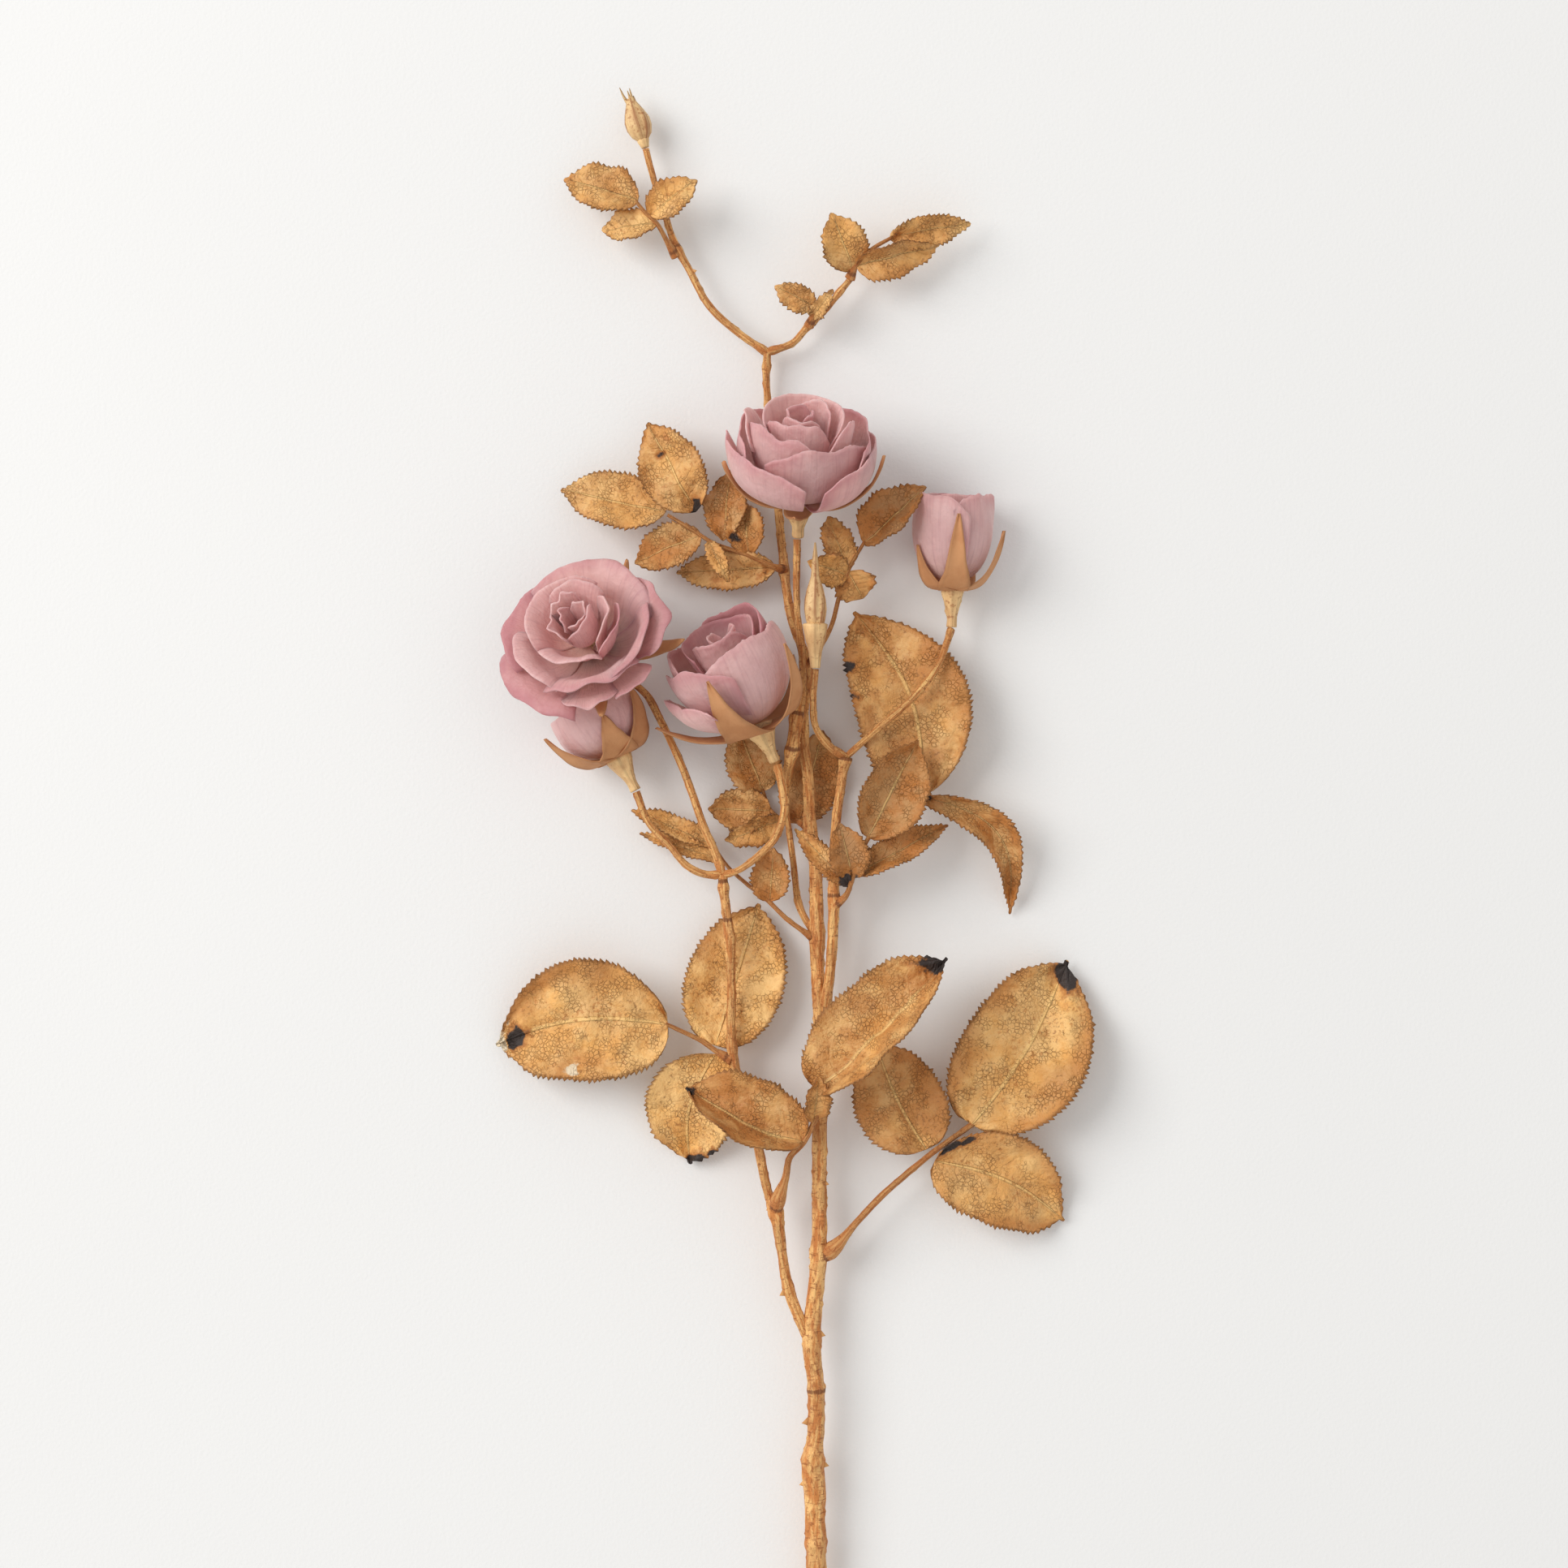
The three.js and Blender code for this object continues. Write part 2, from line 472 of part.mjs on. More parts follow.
// Each bloom: where its petals start, the way it faces, its cup and its seed case, and its
// petals from the heart outwards.
const blooms = {
  open_rose: {
    base: [-61.6, 106.5, 21.5], axis: [-0.22, 0.46, 0.86],
    rim: 4.6, neck: 1.6, length: 9.5, radius: 23.5, height: 15, flare: 2,
    sepals: [
      { angle: 30, reach: 0.8, width: 9, lift: 3, drop: 3 },
      { angle: 102, reach: 0.6, width: 9, lift: 1, drop: 1 },
      { angle: 175, reach: 0.55, width: 9 },
      { angle: 248, reach: 0.6, width: 9 },
      { angle: 318, reach: 0.7, width: 9, lift: 2 },
    ],
    heart: { radius: 5.2, height: 23, foot: 9.4 },
    petals: [
      { angle: 66, span: 60, radius: 7.6, height: 22.5, flare: 0.3 },
      { angle: 292, span: 46, radius: 9.6, height: 23, flare: 0.3 },
      { angle: 24, span: 46, radius: 11.4, height: 22.5, flare: 0.4 },
      { angle: 243, span: 68, radius: 13.2, height: 21.5, flare: 0.6 },
      { angle: 128, span: 44, radius: 15, height: 20, flare: 0.6 },
      { angle: 38, span: 42, radius: 16.6, height: 20, flare: 0.8 },
      { angle: 100, span: 44, radius: 18.4, height: 17, flare: 1.2 },
      { angle: 45, span: 42, radius: 20.2, height: 17.5, flare: 1.4 },
      { angle: 186, span: 54, radius: 21.8, height: 15.5, flare: 1.8 },
      { angle: 308, span: 68, radius: 23.4, height: 16, flare: 2 },
    ],
  },
  top_rose: {
    base: [2, 152.5, 19.8], axis: [0.04, 0.84, 0.54],
    rim: 5, neck: 1.7, length: 12.5, radius: 22, height: 22, flare: 1.5,
    sepals: [
      { angle: 95, reach: 0.34, width: 10 },
      { angle: 10, reach: 0.86, width: 8, lift: 0.5 },
      { angle: 175, reach: 0.7, width: 10 },
      { angle: 235, reach: 0.5, width: 10 },
      { angle: 305, reach: 0.5, width: 10 },
    ],
    heart: { radius: 8.8, height: 31, foot: 8.2 },
    petals: [
      { angle: 108, span: 60, radius: 11, height: 29.5, flare: 0.2 },
      { angle: 24, span: 45, radius: 13.2, height: 30, flare: 0.4 },
      { angle: 130, span: 52, radius: 15.4, height: 27.5, flare: 0.4 },
      { angle: 192, span: 46, radius: 17.2, height: 25, flare: 0.6 },
      { angle: 344, span: 50, radius: 18.6, height: 24.5, flare: 0.6 },
      { angle: 68, span: 44, radius: 20, height: 23.5, flare: 0.6 },
      { angle: 146, span: 50, radius: 21.4, height: 21, flare: 0.8 },
      { angle: 14, span: 48, radius: 22.4, height: 20.5, flare: 0.8 },
    ],
  },
  centre_rose: {
    base: [-10.6, 83.6, 20], axis: [-0.4, 0.88, 0.26],
    rim: 5, neck: 1.7, length: 12.5, radius: 19.4, height: 24, flare: 1.6,
    sepals: [
      { angle: 186, reach: 0.85, width: 10, lift: 8, drop: 7 },
      { angle: 100, reach: 0.66, width: 11 },
      { angle: 34, reach: 0.85, width: 10, lift: 0.5 },
      { angle: 330, reach: 0.7, width: 8 },
      { angle: 260, reach: 0.6, width: 8 },
    ],
    heart: { radius: 9, height: 31, foot: 6.5 },
    petals: [
      { angle: 318, span: 78, radius: 13.4, height: 33.5, flare: 0.2 },
      { angle: 205, span: 50, radius: 15.2, height: 30, flare: 0.4 },
      { angle: 150, span: 50, radius: 17, height: 26.5, flare: 0.6 },
      { angle: 56, span: 62, radius: 18.8, height: 26, flare: 0.8 },
      { angle: 166, span: 40, radius: 20.6, height: 17, flare: 1.6 },
    ],
  },
  right_bud: {
    base: [49.4, 126.4, 12.1], axis: [0.03, 0.99, 0.03],
    rim: 3.7, neck: 1.5, length: 12.5, radius: 11.6, height: 25, flare: 0.6,
    sepals: [
      { angle: 88, reach: 0.9, width: 7.5 },
      { angle: 160, reach: 0.6, width: 8 },
      { angle: 5, reach: 0.8, width: 6, lift: 3 },
      { angle: 225, reach: 0.6, width: 7 },
      { angle: 300, reach: 0.6, width: 7 },
    ],
    heart: { radius: 7.4, height: 25, foot: 3 },
    petals: [
      { angle: 20, span: 75, radius: 9.8, height: 27, flare: 0.4 },
      { angle: 150, span: 75, radius: 11.6, height: 26, flare: 0.8 },
    ],
  },
  left_bud: {
    base: [-54.3, 74.6, 12.2], axis: [-0.46, 0.88, -0.03],
    rim: 4.4, neck: 1.5, length: 12.5, radius: 11, height: 17, flare: 0.6,
    sepals: [
      { angle: 75, reach: 0.6, width: 9 },
      { angle: 28, reach: 0.85, width: 8, lift: 1.5 },
      { angle: 165, reach: 0.9, width: 7.5, lift: 8 },
      { angle: 225, reach: 0.6, width: 7 },
      { angle: 300, reach: 0.6, width: 7 },
    ],
    heart: { radius: 9, height: 18, foot: 2.4 },
    petals: [
      { angle: 100, span: 115, radius: 11.6, height: 17, flare: 0.4 },
    ],
  },
};

function addBloom(name, shape) {
  const group = new THREE.Group();
  const up = vec(...shape.axis).normalize();
  const front = vec(0, 0, 1).addScaledVector(up, -up.z).normalize();
  const right = up.clone().cross(front);
  group.applyMatrix4(new THREE.Matrix4().makeBasis(right, up, front).setPosition(...shape.base));
  addNode(`${name}_calyx`, calyx(shape), hipCream, group);
  addNode(`${name}_heart`, heart(shape.heart), petalPink, group);
  shape.petals.forEach((each, index) => {
    const solid = petal(index + 1, shape.petals.length + 1, each);
    addNode(`${name}_petal_${index + 1}`, solid, petalPink, group);
  });
  spray.add(group);
}

// ---- Closed buds ----------------------------------------------------------------------

// A closed bud: seed case, tight bud and a pointed tip, turned about one axis.
const closedBuds = {
  closed_bud: {
    base: [6.8, 101, 21.2], axis: [0, 0.99, 0.05],
    profile: [[0, 0], [1.5, 0], [2, 5], [3.7, 12.2], [3.9, 13.4], [2.7, 13.8], [3.4, 18], [2.9, 23],
      [1.3, 28], [0.9, 33], [0, 38.5]],
  },
  twig_bud: {
    base: [-45.7, 262.7, 8], axis: [-0.3, 0.95, 0],
    profile: [[0, 0], [1.2, 0], [1.9, 2], [2.6, 3.2], [3.6, 6], [3.9, 9], [3.2, 13], [1.6, 16], [1, 18.4],
      [0, 19.6]],
  },
};

function addClosedBud(name, { base, axis, profile }) {
  const solid = toSolid(new THREE.LatheGeometry(profile.map(([r, h]) => new THREE.Vector2(r, h)), HIP_SIDES));
  const turned = new THREE.Group();
  turned.quaternion.setFromUnitVectors(vec(0, 1, 0), vec(...axis).normalize());
  turned.position.set(...base);
  addNode(name, solid, budGreen, turned);
  spray.add(turned);
}

addStems();
addLeaves();
Object.entries(blooms).forEach(([name, shape]) => addBloom(name, shape));
Object.entries(closedBuds).forEach(([name, shape]) => addClosedBud(name, shape));

export default spray;
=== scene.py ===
"""A dried, cut spray rose: stems, leaves, five blooms and two closed buds.

The tables give the places of the pieces in millimetres, as the frame has them. Each piece is
made with its place in its mesh, and stands for the frame's plain solid of the same name.
"""

import math
import random

import bmesh
import bpy
from bpy.props import FloatProperty, FloatVectorProperty, PointerProperty
from mathutils import Matrix, Vector, noise


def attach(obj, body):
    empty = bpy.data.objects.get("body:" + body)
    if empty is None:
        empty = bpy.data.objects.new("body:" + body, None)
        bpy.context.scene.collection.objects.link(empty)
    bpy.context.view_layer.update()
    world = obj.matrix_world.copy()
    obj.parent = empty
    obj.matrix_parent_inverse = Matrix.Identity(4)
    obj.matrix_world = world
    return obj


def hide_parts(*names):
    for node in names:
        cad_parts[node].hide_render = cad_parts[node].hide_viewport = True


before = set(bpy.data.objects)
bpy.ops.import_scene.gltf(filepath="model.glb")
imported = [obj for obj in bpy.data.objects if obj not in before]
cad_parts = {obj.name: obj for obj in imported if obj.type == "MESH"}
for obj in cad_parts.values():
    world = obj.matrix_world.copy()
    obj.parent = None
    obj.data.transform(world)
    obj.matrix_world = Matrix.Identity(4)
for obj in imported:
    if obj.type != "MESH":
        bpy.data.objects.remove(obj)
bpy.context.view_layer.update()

bl_info = {
    "name": "Cut Spray Rose",
    "version": (1, 0, 0),
    "blender": (4, 5, 0),
    "location": "View3D > Sidebar > Spray Rose",
    "description": "Builds a dried, cut spray rose on a pale floor",
    "category": "Object",
}

MM = 0.001
Z_UP = Vector((0, 0, 1))
TINT, SCORCH = "tint", "scorch"

# ---- Stems ----------------------------------------------------------------------------

# Centreline points (x, y, z, radius), from the cut or joined end outwards.
STEMS = {
    "main_stem": [
        (8.5, -280.5, 3.65, 3.5), (8, -230, 5.2, 3.5), (7.3, -177.5, 7.8, 3.4),
        (6.8, -154.2, 8.8, 3.2), (6.2, -144.6, 9.2, 3.5), (7, -136, 9.5, 2.75),
        (7.2, -121.8, 10, 2.7), (5.8, -107.7, 10.5, 2.9), (8, -79.6, 10.5, 2.5),
        (8.2, -50.5, 10.5, 2.35), (8.7, -18.3, 10.5, 2.15), (7.7, 7.3, 10.5, 2.2),
        (7.4, 19.8, 10.5, 2.3), (7, 38.4, 10.5, 2.1), (5.2, 54, 10.5, 1.95),
        (4.7, 66.5, 10.5, 1.85), (3.4, 77, 10.5, 1.75), (3.3, 87.1, 10.2, 1.7),
        (4.4, 98.1, 9.8, 1.65), (3, 107.2, 9.2, 1.55), (0, 115.3, 8.6, 1.5),
        (-1.8, 124.4, 7.6, 1.45), (-3, 135, 6, 1.4), (-4.5, 150.8, 3.8, 1.35), (-6, 166, 3, 1.3),
        (-7.2, 178.1, 3.6, 1.25), (-8.2, 191.1, 5.2, 1.2), (-8, 199.5, 6.3, 1.3),
    ],
    "left_side_stem": [
        (5.8, -108.7, 10.5, 1.9), (-1.2, -91, 11, 1.75), (-3.5, -78.4, 11.5, 1.6),
        (-5.2, -67, 12, 2.1), (-7.7, -60.5, 12, 1.5), (-11, -45.3, 12, 1.5), (-13, -38.3, 12, 1.5),
        (-18.5, -18.2, 12, 1.45), (-19, 3.4, 12.5, 1.45), (-19.7, 18.9, 13, 1.65),
        (-21.5, 33.9, 13, 1.45), (-21.8, 37.5, 13, 1.55),
    ],
    "open_rose_stalk": [
        (-21.8, 37.5, 13, 1.2), (-23.5, 43, 13, 1.3), (-27.7, 53, 13, 1.3), (-34.1, 70.5, 12, 1.2),
        (-41.1, 85.6, 11.6, 1.2), (-45.5, 93.3, 11.4, 1.2), (-51.2, 97.8, 10.8, 1.2),
        (-56.2, 100.2, 10.6, 1.3), (-59.2, 101.3, 11.4, 1.4),
    ],
    "left_bud_stalk": [
        (-21.8, 37.5, 13, 1.1), (-27, 37.7, 13, 1.2), (-32.6, 40.2, 13, 1.2),
        (-38.1, 46.5, 12.5, 1.1), (-44.6, 53.7, 12.5, 1.1), (-48.4, 63.1, 12.6, 1.3),
    ],
    "centre_rose_stalk": [
        (-21.8, 37.5, 13, 1), (-17.5, 38.6, 14.8, 1.1), (-11.7, 42.5, 17, 1.2),
        (-5.5, 49, 18.3, 1.2), (-2.6, 57.5, 18.3, 1.3), (-3.6, 66.5, 17.4, 1.4),
        (-4.8, 71.4, 16.8, 1.4),
    ],
    "top_rose_stalk": [
        (7, 18.3, 10.5, 1.1), (2, 27.8, 8.4, 1.1), (0.2, 40.8, 7.4, 1), (-1.3, 51.9, 7.2, 1),
        (-2.4, 60.7, 8.6, 1.1), (-1.6, 68.2, 11.8, 1.4), (-0.4, 75, 15.2, 2.1),
        (1.3, 86.5, 16.8, 2), (3, 96, 16.8, 1.2), (2.7, 106, 14.6, 1.1), (1.2, 120.6, 13, 1.1),
        (1.2, 132.2, 12.4, 1.1), (1.3, 141, 12.5, 1.3),
    ],
    "right_side_stem": [
        (8.6, -12.3, 10.5, 1.4), (10, -3.2, 11.5, 1.7), (11.4, 7.4, 13.2, 1.7),
        (12.2, 18.5, 14.6, 1.7), (12.6, 28.2, 15, 1.8), (12.6, 40, 15, 1.6), (13.4, 54.5, 15, 1.5),
        (15, 66.5, 15.5, 1.5), (16.2, 73.7, 16, 1.7),
    ],
    "right_bud_stalk": [
        (16.2, 73.7, 16, 1.1), (26.1, 82.5, 17.2, 1.1), (37.1, 92.2, 17, 1.1),
        (44.2, 101.2, 16, 1.1), (47.5, 109.1, 14.2, 1.1), (48.8, 113.2, 12, 1.3),
    ],
    "closed_bud_stalk": [
        (16.2, 73.7, 16, 1.3), (10.5, 77.7, 18.5, 1.2), (6.8, 83.6, 20.4, 1.1),
        (6.2, 92.4, 21.2, 1.1), (6.8, 100.7, 21.2, 1.2),
    ],
    "bud_twig": [
        (-8, 199.5, 6.3, 1.2), (-16.6, 205.2, 7, 1.2), (-25.9, 213.7, 7.5, 1.2),
        (-32.2, 225, 8, 1.2), (-36.4, 232.5, 8, 1.2), (-39.9, 242.6, 8, 1), (-43.4, 253.8, 8, 1),
        (-45.6, 262.3, 8, 1.1),
    ],
    "leafy_twig": [
        (-8, 199.5, 6.3, 1.2), (-0.2, 202.2, 7, 1.2), (4.7, 207.4, 7.5, 1.1),
        (10.6, 213.1, 8, 1.1), (15.3, 218.9, 8.6, 1), (18.6, 222.8, 9, 1),
    ],
}

# Dark splits round the bark: distances along the stem.
SPLITS = {
    "main_stem": [158.6, 483],
    "left_side_stem": [136, 148],
    "top_rose_stalk": [62, 73],
    "right_side_stem": [44, 86.5],
    "bud_twig": [44],
    "leafy_twig": [17],
}

# Swollen rings: (distance along the stem, share its radius swells by, half its width).
KNOTS = {
    "main_stem": [
        (5, 0.05, 3), (58, 0.1, 3), (111, 0.16, 2), (129, 0.12, 5), (137, 0.2, 2),
        (159, 0.14, 1.5), (174, 0.12, 3), (201, 0.18, 3), (235, 0.06, 2), (268, 0.12, 3),
        (299, 0.2, 3), (333, 0.16, 3), (363, 0.15, 3), (383, 0.2, 2.5), (414, 0.25, 2.5),
        (440, 0.15, 2), (466, 0.2, 2), (478, 0.3, 1.5),
    ],
    "left_side_stem": [
        (20, 0.12, 2), (44, 0.3, 3), (96, 0.2, 2), (130, 0.25, 2.5), (146, 0.35, 1.5),
    ],
    "open_rose_stalk": [(3, 0.25, 1.5), (40, 0.08, 2), (56, 0.08, 2)],
    "left_bud_stalk": [(2, 0.25, 1.5), (22, 0.12, 1.5)],
    "centre_rose_stalk": [(2, 0.25, 1.5), (33, 0.2, 1.5)],
    "top_rose_stalk": [(12, 0.15, 2), (46, 0.1, 2), (61, 0.2, 2), (71, 0.25, 1.5), (96, 0.15, 2)],
    "right_side_stem": [(12, 0.15, 2), (43, 0.25, 2), (86, 0.35, 2)],
    "right_bud_stalk": [(14, 0.1, 2), (32, 0.12, 1.5)],
    "closed_bud_stalk": [(3, 0.2, 2), (18, 0.12, 2)],
    "bud_twig": [(2, 0.25, 1.5), (43, 0.35, 2), (60, 0.15, 1.5)],
    "leafy_twig": [(2, 0.25, 1.5), (16, 0.3, 1.5), (30, 0.25, 1.5)],
}

# Thorns: (distance along the stem, degrees round it from its right side, length).
THORNS = {
    "main_stem": [
        (177, 10, 2.2), (149, 175, 2.4), (130, 185, 2.2), (136, 5, 2.4), (466, 0, 2.6),
        (92, 200, 1.6), (223, 20, 1.4), (252, 165, 1.6), (321, 15, 1.6),
    ],
    "left_side_stem": [(19, 170, 2), (67, 10, 2), (88, 175, 1.4)],
    "bud_twig": [(35, 20, 1.2)],
    "top_rose_stalk": [(64, 20, 1)],
}

# Bristles round the joints of old leaves: (distance along the stem, half their spread, count).
BRISTLES = {"main_stem": [(201, 3, 16)], "left_side_stem": [(45, 4, 30)]}

# ---- Leaves ---------------------------------------------------------------------------

def leaflet(base, tip, width, **shape):
    """A leaflet's row: its base, tip and width, then what else shapes it.

    roll turns it about its midrib, and fold and cup raise its halves, in degrees. bow, sway and
    hook bend its midrib up, sideways and down. A lower full is rounder, and dark deepens its
    tint. burns are (share along, share across, reach, strength), bleached if reach is negative.
    """
    return dict(shape, base=base, tip=tip, width=width)


